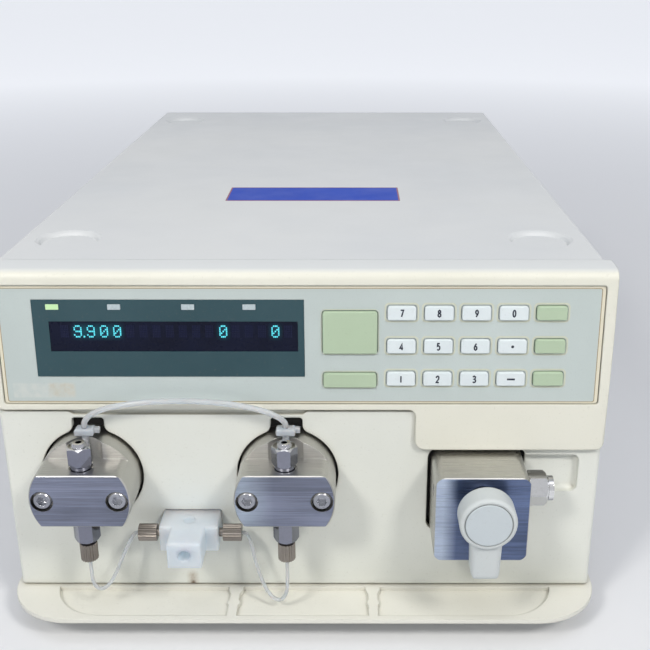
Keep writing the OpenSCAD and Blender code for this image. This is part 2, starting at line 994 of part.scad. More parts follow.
// A finger nut: knurled barrel, neck towards its port, tube hole through it
module finger_nut() {
    ridges = 20;
    root_r = nut_r - 0.35;
    difference() {
        union() {
            linear_extrude(nut_len)
                polygon([
                    for (i = [0 : 2 * ridges - 1])
                        let (r = i % 2 == 0 ? nut_r : root_r)
                            r * [cos(180 * i / ridges), sin(180 * i / ridges)]
                ]);
            translate([0, 0, nut_len - eps])
                cylinder(r = neck_r, h = neck_len + 3);
        }
        translate([0, 0, 1.5])
            cylinder(r = tube_r, h = 20);
    }
}

module tube_nuts() {
    lowest = head_z - head_flat / 2 - inlet_len - neck_len - nut_len;
    reach = manifold_half + neck_len + nut_len;
    color([0.52, 0.48, 0.44]) {
        for (x = HEADS)
            translate([x, ahead(valve_out), lowest])
                finger_nut();
        for (side = [-1, 1])
            translate([manifold_x + side * reach, ahead(side_port_out), manifold_z])
                rotate([0, -side * 90, 0])
                    finger_nut();
    }
}

// A small moulded block with a plugged side branch, on a spigot
module rinse_fittings() {
    size = [8.2, 5, 3];
    color([0.86, 0.88, 0.90])
        for (x = HEADS)
            translate([x, ahead(rinse_out), head_z + head_d / 2]) {
                translate([0, 0, -2.9])
                    cylinder(r = 1.5, h = 5);
                translate([0, -size.y / 2, rinse_top - size.z / 2])
                    rounded_block(size, 1.1, 0.6);
                translate([3, 0, rinse_top - 2.6])
                    cube([3, 2.2, 2.2]);
            }
}

// Routes are drawn from the left: x, depth in front of the cover, drop
function routed(p) = [p.x, cover_y - p.y, below(p.z)];

RINSE_ROUTE = [
    [-91.5, 21.3, 66.5], [-91, 21.4, 64.5], [-87.5, 21.7, 61], [-80, 22, 58],
    [-68, 22.2, 55.8], [-56, 22.3, 54.9], [-42, 22.3, 55], [-30, 22.2, 56.2],
    [-18, 22, 58.8], [-10.5, 21.7, 62], [-7, 21.4, 65], [-6.5, 21.3, 66.5]
];
LEFT_ROUTE = [
    [-71.35, 24.6, 116.8], [-73.5, 24.7, 117.6], [-76, 25.4, 121.5],
    [-79.5, 27, 129], [-82.5, 29, 135.6], [-85.5, 31, 139.8],
    [-88.6, 32.4, 140.6], [-90.9, 33, 137.5], [-91.5, 33.1, 131],
    [-91.5, 33.1, 124.2]
];
RIGHT_ROUTE = [
    [-26.55, 24.6, 116.8], [-24.2, 24.7, 118], [-22.5, 25.2, 123],
    [-20.5, 26.8, 131.5], [-17.5, 29, 140], [-13.8, 30.8, 145.6],
    [-9.8, 32.2, 146.4], [-7, 33, 141.5], [-6.5, 33.1, 133],
    [-6.5, 33.1, 124.2]
];

// The two ends of a route are moved onto the faces that they meet
function seated(route, a, b) = [
    a, for (i = [1 : len(route) - 2]) routed(route[i]), b
];

module rinse_tube() {
    top = head_z + head_d / 2 + rinse_top;
    color([0.85, 0.90, 0.95, 0.6])
        tube(seated(RINSE_ROUTE, [HEADS[0], ahead(rinse_out), top],
            [HEADS[1], ahead(rinse_out), top]), rinse_r, [[0, 0, 1], [0, 0, -1]]);
}

function nut_bottom(i) = [
    HEADS[i], ahead(valve_out),
    head_z - head_flat / 2 - inlet_len - neck_len - nut_len
];

function side_nut_end(side) = [
    manifold_x + side * (manifold_half + neck_len + nut_len),
    ahead(side_port_out), manifold_z
];

module inlet_tubes() {
    color([0.85, 0.90, 0.95, 0.6]) {
        tube(seated(LEFT_ROUTE, side_nut_end(-1), nut_bottom(0)), tube_r,
            [[-1, 0, 0], [0, 0, 1]]);
        tube(seated(RIGHT_ROUTE, side_nut_end(1), nut_bottom(1)), tube_r,
            [[1, 0, 0], [0, 0, 1]]);
    }
}

module inlet_block() {
    arm_half = 7.3;
    edge = 1;
    thread_r = 2.75;
    color([0.80, 0.85, 0.92])
        translate([manifold_x, panel_y, manifold_z])
            difference() {
                union() {
                    translate([0, -bar_d, 0])
                        rounded_block([2 * manifold_half, bar_d, manifold_h], edge, edge);
                    translate([0, -arm_len, 0])
                        rounded_block([2 * arm_half, arm_len, manifold_h], edge, edge);
                }
                translate([0, -arm_len - 1, 0])
                    along_y(thread_r, 10);
                translate([0, -arm_len, 0])
                    along_y(tube_r, arm_len - side_port_out);
                translate([-manifold_half - 1, -side_port_out, 0])
                    along_x(tube_r, 2 * manifold_half + 2);
                for (side = [-1, 1])
                    translate([side * (manifold_half - 1.6), -side_port_out, 0])
                        rotate([0, 90, 0])
                            cylinder(r = neck_r + 0.05, h = 3.24, center = true);
                translate([0, -side_port_out, manifold_h / 2 - 0.8])
                    cylinder(r = 2.6, h = 2);
            }
}

// -------------------------------------------------------------- drain valve

module valve_block() {
    color(steel)
        translate([block_x, panel_y, 0])
            difference() {
                translate([0, -block_proud, block_z])
                    rounded_block([block_w, block_proud + frame_gap, block_w], 4.5, 0.8);
                translate([0, -block_proud - 1, knob_z])
                    along_y(stem_r + running, 19);
                // High-pressure passages to the seat behind the stem
                translate([0, -block_proud + 17, knob_z])
                    along_y(0.8, 20);
                translate([0, -union_out, union_z])
                    along_x(0.8, block_w / 2 + 1);
                translate([block_w / 2 - 6, -union_out, union_z])
                    along_x(3.05, 7);
                translate([-block_w / 2 - 1, -15.5, knob_z])
                    along_x(2.75, 9);
                translate([-block_w / 2, -15.5, knob_z])
                    along_x(0.8, block_w / 2 - 3);
            }
}

module valve_stem() {
    color(steel)
        translate([block_x, ahead(block_proud), knob_z]) {
            translate([0, -14.5, 0])
                along_y(stem_r, 31.5);
            translate([0, -6.2, 0])
                along_y(6.5, 5.7);
        }
}

// The knob: a round hub with a lever hanging from it. The lever lies a
// little behind the hub's front, and the hub is hollowed for its cap
module drain_knob() {
    r = knob_d / 2;
    lever_back = hub_back + 0.6;
    lever_front = knob_proud - 2.2;
    taper = 1.8;
    rim = 1.6;
    color([0.76, 0.78, 0.78])
        translate([block_x, ahead(block_proud), knob_z])
            difference() {
                union() {
                    translate([0, -hub_back, 0])
                        rotate([90, 0, 0])
                            rotate_extrude()
                                hub_profile(r, knob_proud - hub_back - 0.2, rim);
                    // Two bars leaning to either side share the tapered lever
                    intersection() {
                        leaning_bar(taper, lever_front, lever_back);
                        leaning_bar(-taper, lever_front, lever_back);
                    }
                }
                translate([0, -knob_proud - 1, 0])
                    along_y(9.7, 2.4);
                translate([0, -14.5, 0])
                    along_y(stem_r + seat_gap, 10);
            }
}

module leaning_bar(lean, front, back) {
    translate([0, -front, 0])
        rotate([0, lean, 0])
            translate([0, 0, -lever_len / 2])
                rounded_block([lever_w, front - back, lever_len], 4.2, 2.6);
}

module hub_profile(r, h, rim) {
    square([r, h - rim]);
    square([r - rim, h]);
    translate([r - rim, h - rim])
        circle(rim);
}

module knob_cap() {
    cap_r = 9.6;
    color([0.80, 0.82, 0.83])
        translate([block_x, ahead(block_proud + knob_proud - 1.4), knob_z])
            rotate([90, 0, 0]) {
                cylinder(r = cap_r, h = 1);
                translate([0, 0, 1 - eps])
                    cylinder(r1 = cap_r, r2 = cap_r - 0.6, h = 0.4);
            }
}

module outlet_union() {
    x0 = block_x + block_w / 2;
    color(alloy)
        translate([x0, ahead(union_out), union_z])
            rotate([0, 90, 0])
                difference() {
                    union() {
                        translate([0, 0, -5.5])
                            cylinder(r = 3, h = 6);
                        rotate(30)
                            hex_bar(13, union_len, 1);
                        translate([0, 0, union_len - eps])
                            cylinder(r = 4.6, h = union_collar);
                        translate([0, 0, union_len + 0.8])
                            cylinder(r = 5.3, h = union_collar - 0.8);
                    }
                    translate([0, 0, union_len + union_collar - 6])
                        cylinder(r = 2.1, h = 7);
                    translate([0, 0, -6])
                        cylinder(r = 0.8, h = 15);
                }
}

// -------------------------------------------------------------------- drive

// One casting: a face plate that carries the heads and the valve block,
// a floor, three bearing walls, and the motor's plate on the right wall
module drive_frame() {
    x0 = WALLS[0];
    plate_w = 104 - x0;
    plate_h = 100 - frame_floor;
    wall_len = cam_back - frame_gap - plate_t + 24;
    right_len = motor_back + 34 - frame_gap - plate_t;
    wall_y = frame_front + plate_t;
    color(alloy)
        difference() {
            union() {
                translate([x0, frame_front, frame_floor])
                    cube([plate_w, plate_t, plate_h]);
                for (i = [0 : 2])
                    translate([WALLS[i], wall_y - eps, frame_floor])
                        cube([wall_t, i == 2 ? right_len : wall_len, plate_h - 4]);
                translate([x0, wall_y - eps, frame_floor])
                    cube([WALLS[2] + wall_t - x0, wall_len, 6]);
            }
            for (x = HEADS)
                translate([x, frame_front - 1, head_z])
                    along_y(bush_r + seat_gap, plate_t + 2);
            for (x = HEADS, side = [-1, 1])
                translate([x + side * head_screw_x, frame_front - 1, head_z])
                    along_y(2.55, plate_t);
            translate([x0 - 1, cam_y, head_z])
                along_x(bearing_r + seat_gap, 160);
            translate([WALLS[2] - 1, motor_y, head_z])
                along_x(19.1, wall_t + 2);
            for (y = [-1, 1], z = [-1, 1])
                translate([WALLS[2] - 1, motor_y + y * 23.57, head_z + z * 23.57])
                    along_x(2.6, wall_t + 2);
            // Windows that lighten the walls
            translate([x0 - 1, wall_y + 10, head_z])
                rotate([90, 0, 90])
                    linear_extrude(160)
                        translate([18, 0])
                            rounded_rect([30, 40], 6);
            // The cover of the valve block's rear stays clear
            translate([WALLS[2] + wall_t + 6, frame_front - 1, frame_floor - 1])
                cube([18, plate_t + 2, 30]);
        }
}

// Three ball bearings for the camshaft and two bronze guide bushes
module bearings() {
    bush_len = 20;
    color([0.72, 0.60, 0.38])
        for (x = HEADS)
            translate([x, frame_front, head_z])
                difference() {
                    union() {
                        along_y(bush_r, bush_len);
                        translate([0, plate_t, 0])
                            along_y(13, bush_flange);
                    }
                    translate([0, -1, 0])
                        along_y(rod_r + running, bush_len + 2);
                }
    color(steel)
        for (x = WALLS)
            translate([x, cam_y, head_z])
                difference() {
                    along_x(bearing_r, wall_t);
                    translate([-1, 0, 0])
                        along_x(shaft_r + running, wall_t + 2);
                    for (end = [-1, wall_t - 0.6])
                        translate([end, 0, 0])
                            difference() {
                                along_x(14, 1.6);
                                translate([-1, 0, 0])
                                    along_x(10, 4);
                            }
                }
}

module plunger_seals() {
    color([0.15, 0.15, 0.16])
        for (x = HEADS)
            translate([x, frame_front - 7.9, head_z])
                difference() {
                    along_y(6, 7.4);
                    translate([0, -1, 0])
                        along_y(plunger_d / 2 + 0.06, 10);
                }
}

module plunger(x) {
    color([0.92, 0.93, 0.95])
        translate([x, panel_y, head_z]) {
            translate([0, -13, 0])
                along_y(plunger_d / 2, 31);
        }
}

// A crosshead: guide rod, spring flange, and a fork with the roller's pin
module crosshead(x) {
    arm_t = 4;
    color([0.62, 0.63, 0.65])
        translate([x, panel_y, head_z])
            difference() {
                union() {
                    translate([0, 12, 0])
                        along_y(rod_r, spring_seat - 12);
                    translate([0, spring_seat - eps, 0])
                        along_y(13, 4);
                    for (side = [-1, 1])
                        translate([side * (roller_w / 2 + 0.8 + arm_t / 2), 0, 0]) {
                            translate([-arm_t / 2, spring_seat + 3, -8])
                                cube([arm_t, roller_back - spring_seat - 3, 16]);
                            translate([-arm_t / 2, roller_back, 0])
                                along_x(8, arm_t);
                        }
                    translate([-9, roller_back, 0])
                        along_x(roller_pin_r, 18);
                }
                translate([0, 11, 0])
                    along_y(plunger_d / 2 + seat_gap, 7);
            }
}

// A roller: a ring with a chamfered rim, running on the crosshead's pin
module cam_roller(x) {
    rim = 0.8;
    color(steel)
        translate([x, panel_y + roller_back, head_z])
            rotate([0, 90, 0])
                rotate_extrude()
                    polygon([
                        [roller_pin_r + running, -roller_w / 2],
                        [roller_r - rim, -roller_w / 2], [roller_r, rim - roller_w / 2],
                        [roller_r, roller_w / 2 - rim], [roller_r - rim, roller_w / 2],
                        [roller_pin_r + running, roller_w / 2]
                    ]);
}

// The springs that hold the crossheads against their cams
module return_springs() {
    wire_r = 1.1;
    coil_r = 11.6;
    turns = 5;
    per_turn = 14;
    front = frame_gap + plate_t + bush_flange + wire_r;
    back = spring_seat - wire_r;
    count = turns * per_turn;
    color(steel)
        for (x = HEADS)
            translate([x, panel_y, head_z])
                tube([
                    for (i = [0 : count])
                        let (a = 360 * i / per_turn)
                            [coil_r * cos(a), front + (back - front) * i / count, coil_r * sin(a)]
                ], wire_r, [[0, 0, 1], [0, 0, 1]], 1, 6);
}

// A heart cam of constant lift: the roller's centre follows an Archimedean
// spiral, and the flank is that spiral moved in by the roller's radius
function pitch_low() = pitch_mid - lift_per_rad * PI / 2;

function flank_point(angle, offset) =
    let (r = pitch_low() + lift_per_rad * angle * PI / 180)
    let (size = sqrt(r * r + lift_per_rad * lift_per_rad))
    let (out = [cos(angle), sin(angle)], along = [-sin(angle), cos(angle)])
        r * out - offset * (r * out - lift_per_rad * along) / size;

module cam_outline() {
    offset = roller_r + 0.06;
    reach = pitch_low() + lift_per_rad * PI;
    for (side = [1, -1])
        scale([1, side])
            intersection() {
                polygon(concat(
                    [[0, 0], [pitch_low() - offset, 0]],
                    [for (a = [0 : 6 : 180]) flank_point(a, offset)]
                ));
                translate([-reach, 0])
                    square([2 * reach, reach]);
            }
}

module camshaft() {
    color([0.66, 0.67, 0.70])
        translate([0, cam_y, head_z]) {
            difference() {
                union() {
                    translate([WALLS[0] + 0.5, 0, 0])
                        along_x(shaft_r, pulley_x + pulley_w + 2 - WALLS[0]);
                    for (i = [0, 1])
                        translate([HEADS[i], 0, 0]) {
                            translate([-cam_t / 2, 0, 0])
                                rotate([0, 90, 0])
                                    rotate(i == 0 ? 180 : 0)
                                        linear_extrude(cam_t)
                                            cam_outline();
                            translate([cam_t / 2 - eps, 0, 0])
                                along_x(12, 6);
                        }
                    pulley(cam_pulley_r, 2.5);
                }
                for (turn = [0 : 60 : 300])
                    rotate([turn, 0, 0])
                        translate([pulley_x - 1, 0, 17])
                            along_x(5, pulley_w + 2);
            }
        }
}

module pulley(r, flange) {
    side = 1;
    translate([pulley_x, 0, 0])
        along_x(r, pulley_w);
    for (x = [pulley_x, pulley_x + pulley_w - side])
        translate([x, 0, 0])
            along_x(r + flange, side);
}

// What a belt of a given thickness encloses, with the camshaft at the
// origin: two rounds and the straight runs that touch them
module belt_body(grow, width) {
    span = motor_back - cam_back;
    big = cam_pulley_r + grow;
    small = motor_pulley_r + grow;
    tilt = acos((big - small) / span);
    touch = 0.999 * [cos(tilt), sin(tilt)];
    cylinder(r = big, h = width);
    translate([span, 0, 0])
        cylinder(r = small, h = width);
    linear_extrude(width)
        polygon([
            big * touch, [span, 0] + small * touch,
            [span, 0] + small * [touch.x, -touch.y], big * [touch.x, -touch.y]
        ]);
}

module timing_belt() {
    thickness = 1.9;
    slack = 0.25;
    width = pulley_w - 3;
    color([0.10, 0.10, 0.11])
        translate([pulley_x + 1.5, cam_y, head_z])
            rotate([90, 0, 90])
                difference() {
                    belt_body(slack + thickness, width);
                    translate([0, 0, -1])
                        belt_body(slack, width + 2);
                }
}

module motor() {
    x1 = WALLS[2];
    color([0.16, 0.16, 0.17])
        difference() {
            union() {
                translate([x1 - motor_len, motor_y, head_z])
                    rotate([90, 0, 90])
                        linear_extrude(motor_len)
                            rounded_rect([motor_w, motor_w], 5);
                translate([x1 - eps, motor_y, head_z])
                    along_x(19.05, 1.6);
            }
            translate([x1 - 20, motor_y, head_z])
                along_x(motor_shaft_r + running, 40);
            for (z = [-1, 1], y = [-1, 1])
                translate([x1 - 60, motor_y + y * motor_w / 2, head_z + z * motor_w / 2])
                    along_x(5, 54);
        }
}

module motor_pulley() {
    color([0.66, 0.67, 0.70])
        translate([0, motor_y, head_z]) {
            translate([WALLS[2] - 18, 0, 0])
                along_x(motor_shaft_r, pulley_x + pulley_w + 19 - WALLS[2]);
            pulley(motor_pulley_r, 2);
        }
}

// --------------------------------------------------------------- electrics

module power_inlet() {
    cavity = [24, 16.4];
    body = [28, 20];
    body_d = 24;
    pin = [2, 10, 4];
    color([0.09, 0.09, 0.10])
        translate([inlet_at().x, rear_y, inlet_at().y]) {
            difference() {
                union() {
                    translate([0, -body_d, 0])
                        front_view(body_d + sheet)
                            rounded_rect(body, 2);
                    translate([0, sheet, 0])
                        front_view(2.6)
                            rounded_rect([48, 24], 3);
                }
                translate([0, -16, 0])
                    front_view(30)
                        rounded_rect(cavity, 2);
                for (side = [-1, 1])
                    translate([side * 20, -1, 0])
                        along_y(1.7, 10);
            }
            for (p = [[-7, -1.6], [0, 1.6], [7, -1.6]])
                translate([p.x - pin.x / 2, -16 - eps, p.y - pin.z / 2])
                    cube(pin);
        }
}

module transformer() {
    core = [62, 52, 64];
    at = [78, panel_y + 310, floor_h + sheet];
    color([0.34, 0.32, 0.30])
        translate(at) {
            difference() {
                translate([-core.x / 2, -core.y / 2 + 10, 2])
                    cube([core.x, core.y - 20, core.z]);
                for (x = [-1, 1], z = [1, -1])
                    translate([x * 26, -30, core.z / 2 + 2 + z * 27])
                        along_y(2, 60);
            }
            translate([-20, -core.y / 2, 14])
                cube([40, core.y, core.z - 24]);
            translate([-core.x / 2, -core.y / 2 + 4, 0])
                cube([core.x, core.y - 8, 2.1]);
        }
}

module main_board() {
    size = [126, 150];
    at = [-54, panel_y + 325, floor_h + sheet];
    height = 10;
    color(board_green)
        translate(at) {
            translate([-size.x / 2, -size.y / 2, height])
                cube([size.x, size.y, 1.6]);
            for (x = [-1, 1], y = [-1, 1])
                translate([x * (size.x / 2 - 5), y * (size.y / 2 - 5), 0])
                    cylinder(r = 3, h = height + eps);
            for (x = [-40, -12])
                translate([x, 50, height + 1.6 - eps])
                    cylinder(r = 11, h = 34);
            translate([20, 30, height + 1.6 - eps])
                for (fin = [0 : 5])
                    translate([fin * 6, 0, 0])
                        cube([2, 38, 28]);
            translate([18, 30, height + 1.6 - eps])
                cube([36, 38, 3]);
            for (x = [-44 : 22 : 44], y = [-50, -20])
                translate([x - 6, y, height + 1.6 - eps])
                    cube([12, 20, 4]);
        }
}

// ------------------------------------------------------------------- parts

base_chassis();
top_cover();
rear_panel();
front_bezel();
control_panel();
display_window();
display_tube();
status_lenses();
control_board();
key("key_0");  // key_0
key("key_1");  // key_1
key("key_2");  // key_2
key("key_3");  // key_3
key("key_4");  // key_4
key("key_5");  // key_5
key("key_6");  // key_6
key("key_7");  // key_7
key("key_8");  // key_8
key("key_9");  // key_9
key("key_point");  // key_point
key("key_minus");  // key_minus
key("key_function");  // key_function
key("key_clear");  // key_clear
key("key_enter");  // key_enter
key("key_pump");  // key_pump
key("key_program");  // key_program
front_panel();
drip_tray();
feet();
cover_screws();
pump_heads();
head_screws();
check_valves();
tube_nuts();
rinse_fittings();
rinse_tube();
inlet_block();
inlet_tubes();
valve_block();
drain_knob();
knob_cap();
valve_stem();
outlet_union();
drive_frame();
bearings();
plunger_seals();
plunger(head_left_x);  // left_plunger
plunger(head_right_x);  // right_plunger
crosshead(head_left_x);  // left_crosshead
crosshead(head_right_x);  // right_crosshead
cam_roller(head_left_x);  // left_roller
cam_roller(head_right_x);  // right_roller
return_springs();
camshaft();
timing_belt();
motor();
motor_pulley();
power_inlet();
transformer();
main_board();
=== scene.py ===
# Looks of a bench liquid-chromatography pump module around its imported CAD
# frame. Metres; +X the operator's right, +Y the back, +Z up.
import json
import math

import bmesh
import bpy
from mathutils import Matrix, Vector


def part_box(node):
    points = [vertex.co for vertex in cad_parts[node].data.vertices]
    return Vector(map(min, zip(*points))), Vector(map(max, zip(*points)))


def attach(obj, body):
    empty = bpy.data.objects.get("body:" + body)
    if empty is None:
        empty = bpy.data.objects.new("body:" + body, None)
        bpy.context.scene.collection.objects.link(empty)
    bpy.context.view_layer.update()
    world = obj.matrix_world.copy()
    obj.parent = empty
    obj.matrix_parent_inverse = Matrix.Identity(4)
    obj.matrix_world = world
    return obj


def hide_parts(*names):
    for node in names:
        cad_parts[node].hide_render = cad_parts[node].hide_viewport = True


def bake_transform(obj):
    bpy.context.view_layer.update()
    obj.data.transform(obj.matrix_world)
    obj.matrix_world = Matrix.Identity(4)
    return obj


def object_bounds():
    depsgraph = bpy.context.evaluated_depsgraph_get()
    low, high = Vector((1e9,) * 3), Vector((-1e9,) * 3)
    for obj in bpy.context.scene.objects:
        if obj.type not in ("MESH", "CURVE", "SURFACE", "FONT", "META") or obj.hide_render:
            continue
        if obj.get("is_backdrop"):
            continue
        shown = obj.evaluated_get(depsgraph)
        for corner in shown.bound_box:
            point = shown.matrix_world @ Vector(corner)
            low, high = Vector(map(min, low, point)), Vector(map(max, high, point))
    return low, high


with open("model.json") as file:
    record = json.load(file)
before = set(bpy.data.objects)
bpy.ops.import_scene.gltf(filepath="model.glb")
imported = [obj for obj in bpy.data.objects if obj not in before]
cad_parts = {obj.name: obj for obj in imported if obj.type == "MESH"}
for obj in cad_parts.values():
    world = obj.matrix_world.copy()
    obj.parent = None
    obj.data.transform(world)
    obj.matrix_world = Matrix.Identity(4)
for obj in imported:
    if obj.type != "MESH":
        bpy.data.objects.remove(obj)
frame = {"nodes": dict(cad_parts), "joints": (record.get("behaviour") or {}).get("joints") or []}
CAD_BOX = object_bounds()
NODES = frame["nodes"]
MM = 0.001


# ------------------------------------------------------------- node helpers

def srgb(r, g, b):
    """A colour as it is seen, 0 to 255, to the linear values a shader takes."""
    def linear(c):
        c = c / 255
        return c / 12.92 if c <= 0.04045 else ((c + 0.055) / 1.055) ** 2.4
    return (linear(r), linear(g), linear(b), 1.0)


def toned(shade, factor):
    """A colour made darker or lighter."""
    return tuple(min(255, round(c * factor)) for c in shade)


class Build:
    """A material with a Principled shader and short names for its nodes.
    Keywords set the shader's own sockets; colour is what the object shows
    so far."""

    def __init__(self, name, **sockets):
        self.mat = bpy.data.materials.new(name)
        self.mat.use_nodes = True
        self.tree = self.mat.node_tree
        self.shader = self.tree.nodes["Principled BSDF"]
        for key, value in sockets.items():
            socket = key.replace("_", " ").title().replace("Ior", "IOR")
            self.shader.inputs[socket].default_value = value
        self.place = self.node("ShaderNodeTexCoord").outputs["Object"]
        self.colour = None

    def node(self, kind, **settings):
        n = self.tree.nodes.new(kind)
        for key, value in settings.items():
            setattr(n, key, value)
        return n

    def link(self, a, b):
        self.tree.links.new(a, b)

    def to(self, socket, output):
        self.link(output, self.shader.inputs[socket])

    def show(self, colour):
        """Makes this the object's colour."""
        self.colour = colour
        self.to("Base Color", colour)

    def shades(self, mask, first, second):
        """The object's own colour: first, and second where mask is 1."""
        self.show(self.mix(mask, srgb(*first), srgb(*second)))

    def paint(self, mask, shade):
        """A shade over the colour so far, where mask is 1."""
        self.show(self.mix(mask, self.colour, srgb(*shade)))

    def scaled(self, scale):
        n = self.node("ShaderNodeMapping")
        n.inputs["Scale"].default_value = scale
        self.link(self.place, n.inputs["Vector"])
        return n.outputs["Vector"]

    def noise(self, scale, detail=3.0, rough=0.55, vector=None):
        n = self.node("ShaderNodeTexNoise")
        n.inputs["Scale"].default_value = scale
        n.inputs["Detail"].default_value = detail
        n.inputs["Roughness"].default_value = rough
        self.link(vector or self.place, n.inputs["Vector"])
        return n.outputs["Fac"]

    def spread(self, value, low, high, out_low=0.0, out_high=1.0):
        """Turns the range low to high into out_low to out_high."""
        n = self.node("ShaderNodeMapRange")
        n.inputs["From Min"].default_value = low
        n.inputs["From Max"].default_value = high
        n.inputs["To Min"].default_value = out_low
        n.inputs["To Max"].default_value = out_high
        self.link(value, n.inputs["Value"])
        return n.outputs["Result"]

    def patchy(self, scale, detail, low=0.0, high=1.0):
        """Clear patches of noise between low and high."""
        return self.spread(self.noise(scale, detail), 0.35, 0.65, low, high)

    def uneven(self, scale, detail, low=0.0, high=1.0):
        """Noise that wanders softly between low and high."""
        return self.spread(self.noise(scale, detail), 0.3, 0.7, low, high)

    def specks(self, scale, detail, rare, strength, shade):
        """Fine specks, the fewer the nearer rare is to 0.8."""
        spots = self.spread(self.noise(scale, detail), rare, 0.8)
        self.paint(self.times(spots, strength), shade)

    def math(self, operation, a, b):
        n = self.node("ShaderNodeMath", operation=operation)
        for socket, value in zip(n.inputs, (a, b)):
            if isinstance(value, (int, float)):
                socket.default_value = value
            else:
                self.link(value, socket)
        return n.outputs[0]

    def times(self, a, b):
        return self.math("MULTIPLY", a, b)

    def mix(self, factor, a, b):
        n = self.node("ShaderNodeMix", data_type="RGBA")
        self.link(factor, n.inputs["Factor"])
        for key, value in (("A", a), ("B", b)):
            socket = [s for s in n.inputs if s.name == key and s.type == "RGBA"][0]
            if isinstance(value, tuple):
                socket.default_value = value
            else:
                self.link(value, socket)
        return [s for s in n.outputs if s.type == "RGBA"][0]

    def bump(self, height, strength, distance, after=None):
        n = self.node("ShaderNodeBump")
        n.inputs["Strength"].default_value = strength
        n.inputs["Distance"].default_value = distance
        self.link(height, n.inputs["Height"])
        if after is not None:
            self.link(after, n.inputs["Normal"])
        return n.outputs["Normal"]

    def soft_edges(self, radius):
        """The surface's direction, turned over its sharp edges as a moulded
        or broken edge turns it."""
        n = self.node("ShaderNodeBevel", samples=4)
        n.inputs["Radius"].default_value = radius
        return n.outputs["Normal"]

    def corner_shade(self, distance, strength):
        """strength in corners, 0 on open faces: painted shade where little light reaches."""
        n = self.node("ShaderNodeAmbientOcclusion", samples=6, only_local=False)
        n.inputs["Distance"].default_value = distance
        n.inputs["Color"].default_value = (1, 1, 1, 1)
        return self.spread(n.outputs["AO"], 0.35, 0.9, strength, 0.0)

    def from_axis(self, x, z):
        """How far a point lies from an axis that runs front to back."""
        n = self.node("ShaderNodeVectorMath", operation="SUBTRACT")
        self.link(self.place, n.inputs[0])
        n.inputs[1].default_value = (x, 0, z)
        flat = self.node("ShaderNodeVectorMath", operation="MULTIPLY")
        self.link(n.outputs["Vector"], flat.inputs[0])
        flat.inputs[1].default_value = (1, 0, 1)
        reach = self.node("ShaderNodeVectorMath", operation="LENGTH")
        self.link(flat.outputs["Vector"], reach.inputs[0])
        return reach.outputs["Value"]

    def inside(self, soft, **spans):
        """1 between the limits given for x, y or z, fading over soft."""
        n = self.node("ShaderNodeSeparateXYZ")
        self.link(self.place, n.inputs["Vector"])
        result = None
        for axis, (low, high) in spans.items():
            for edge, sign in ((low, 1), (high, -1)):
                t = self.spread(n.outputs[axis.upper()], edge - sign * soft, edge + sign * soft)
                result = t if result is None else self.times(result, t)
        return result

    def skyward(self, low=-0.2, high=0.8):
        """1 where the upward part of the surface's direction is above high,
        0 where it is below low."""
        place = self.node("ShaderNodeNewGeometry")
        n = self.node("ShaderNodeSeparateXYZ")
        self.link(place.outputs["Normal"], n.inputs["Vector"])
        return self.spread(n.outputs["Z"], low, high)


def dress(build, *names):
    """Gives CAD nodes a material in every slot."""
    for name in names:
        for s in NODES[name].material_slots:
            s.material = build.mat


# ---------------------------------------------------------------- materials

FINE_DEPTH = 0.00003        # of a moulded grain's bumps
PRINT_DEPTH = 0.000002      # of ink, glass and other near-smooth faces


def plastic(name, shade, second, grain=2600, depth=FINE_DEPTH, rough=(0.38, 0.5), corner_shading=None,
            blotch=14, edge=0.0, gloss=0.5):
    """Moulded plastic: slow colour drift, specks, fine grain and, where given (colour, distance,
    strength) for it, painted shade in its corners, tinted brown."""
    b = Build(name, ior=1.48, specular_ior_level=gloss)
    b.shades(b.patchy(blotch, 4), shade, second)
    b.specks(900, 2, 0.62, 0.12, (120, 112, 92))
    # Painted shade: corners darkened as far as light is shut out of them.
    if corner_shading:
        b.paint(b.corner_shade(*corner_shading[1:]), corner_shading[0])
    b.to("Roughness", b.uneven(70, 3, *rough))
    b.to("Normal", b.bump(b.noise(grain, 2), 0.35, depth, b.soft_edges(edge) if edge else None))
    return b


def enamel(name, shade, second):
    """Baked paint on steel sheet: fine orange peel under a faint gloss."""
    b = Build(name, ior=1.5)
    b.shades(b.patchy(7, 3), shade, second)
    b.specks(1500, 1, 0.66, 0.1, (120, 120, 116))
    b.to("Roughness", b.uneven(45, 4, 0.34, 0.46))
    fine = b.bump(b.noise(1100, 2), 0.22, 0.00004, b.soft_edges(0.5 * MM))
    b.to("Normal", b.bump(b.noise(9, 2), 0.1, 0.0004, fine))
    return b


def lapped_face_and_reflection(b, stretch, shade, foremost, band):
    """The foremost face in a darker, bluish shade that is a painted reflection: cloudy polish, a
    band of painted sheen (its limits across, its softness, its shade), and dark and pale grooves
    along the grain. The clouds are 60 times as coarse as the brush lines and the grooves 3
    times."""
    low, high, soft, bright = band
    coarsest = 22
    coarse = b.scaled(tuple(max(s / 60, coarsest) for s in stretch))
    clouds = b.spread(b.noise(1.0, 3, 0.5, coarse), 0.35, 0.65)
    # Painted reflection: the face's darker, bluish shade.
    face = b.mix(clouds, srgb(*shade), srgb(*toned(shade, 1.24)))
    # Painted sheen: a band of reflected light across the face.
    sheen = b.times(b.inside(soft, x=(low, high)), b.spread(clouds, 0.0, 1.0, 0.7, 1.0))
    face = b.mix(sheen, face, srgb(*bright))
    grooves = b.noise(1.0, 2, 0.7, b.scaled(tuple(s / 3 for s in stretch)))
    groove = 0.34
    face = b.mix(b.spread(grooves, 0.5, 0.72, 0.0, groove), face, srgb(*toned(shade, 0.66)))
    face = b.mix(b.spread(grooves, 0.28, 0.48, groove, 0.0), face, srgb(*toned(shade, 1.5)))
    skin = 0.12 * MM
    b.show(b.mix(b.inside(skin / 2, y=(foremost - 1.0, foremost + skin)), b.colour, face))


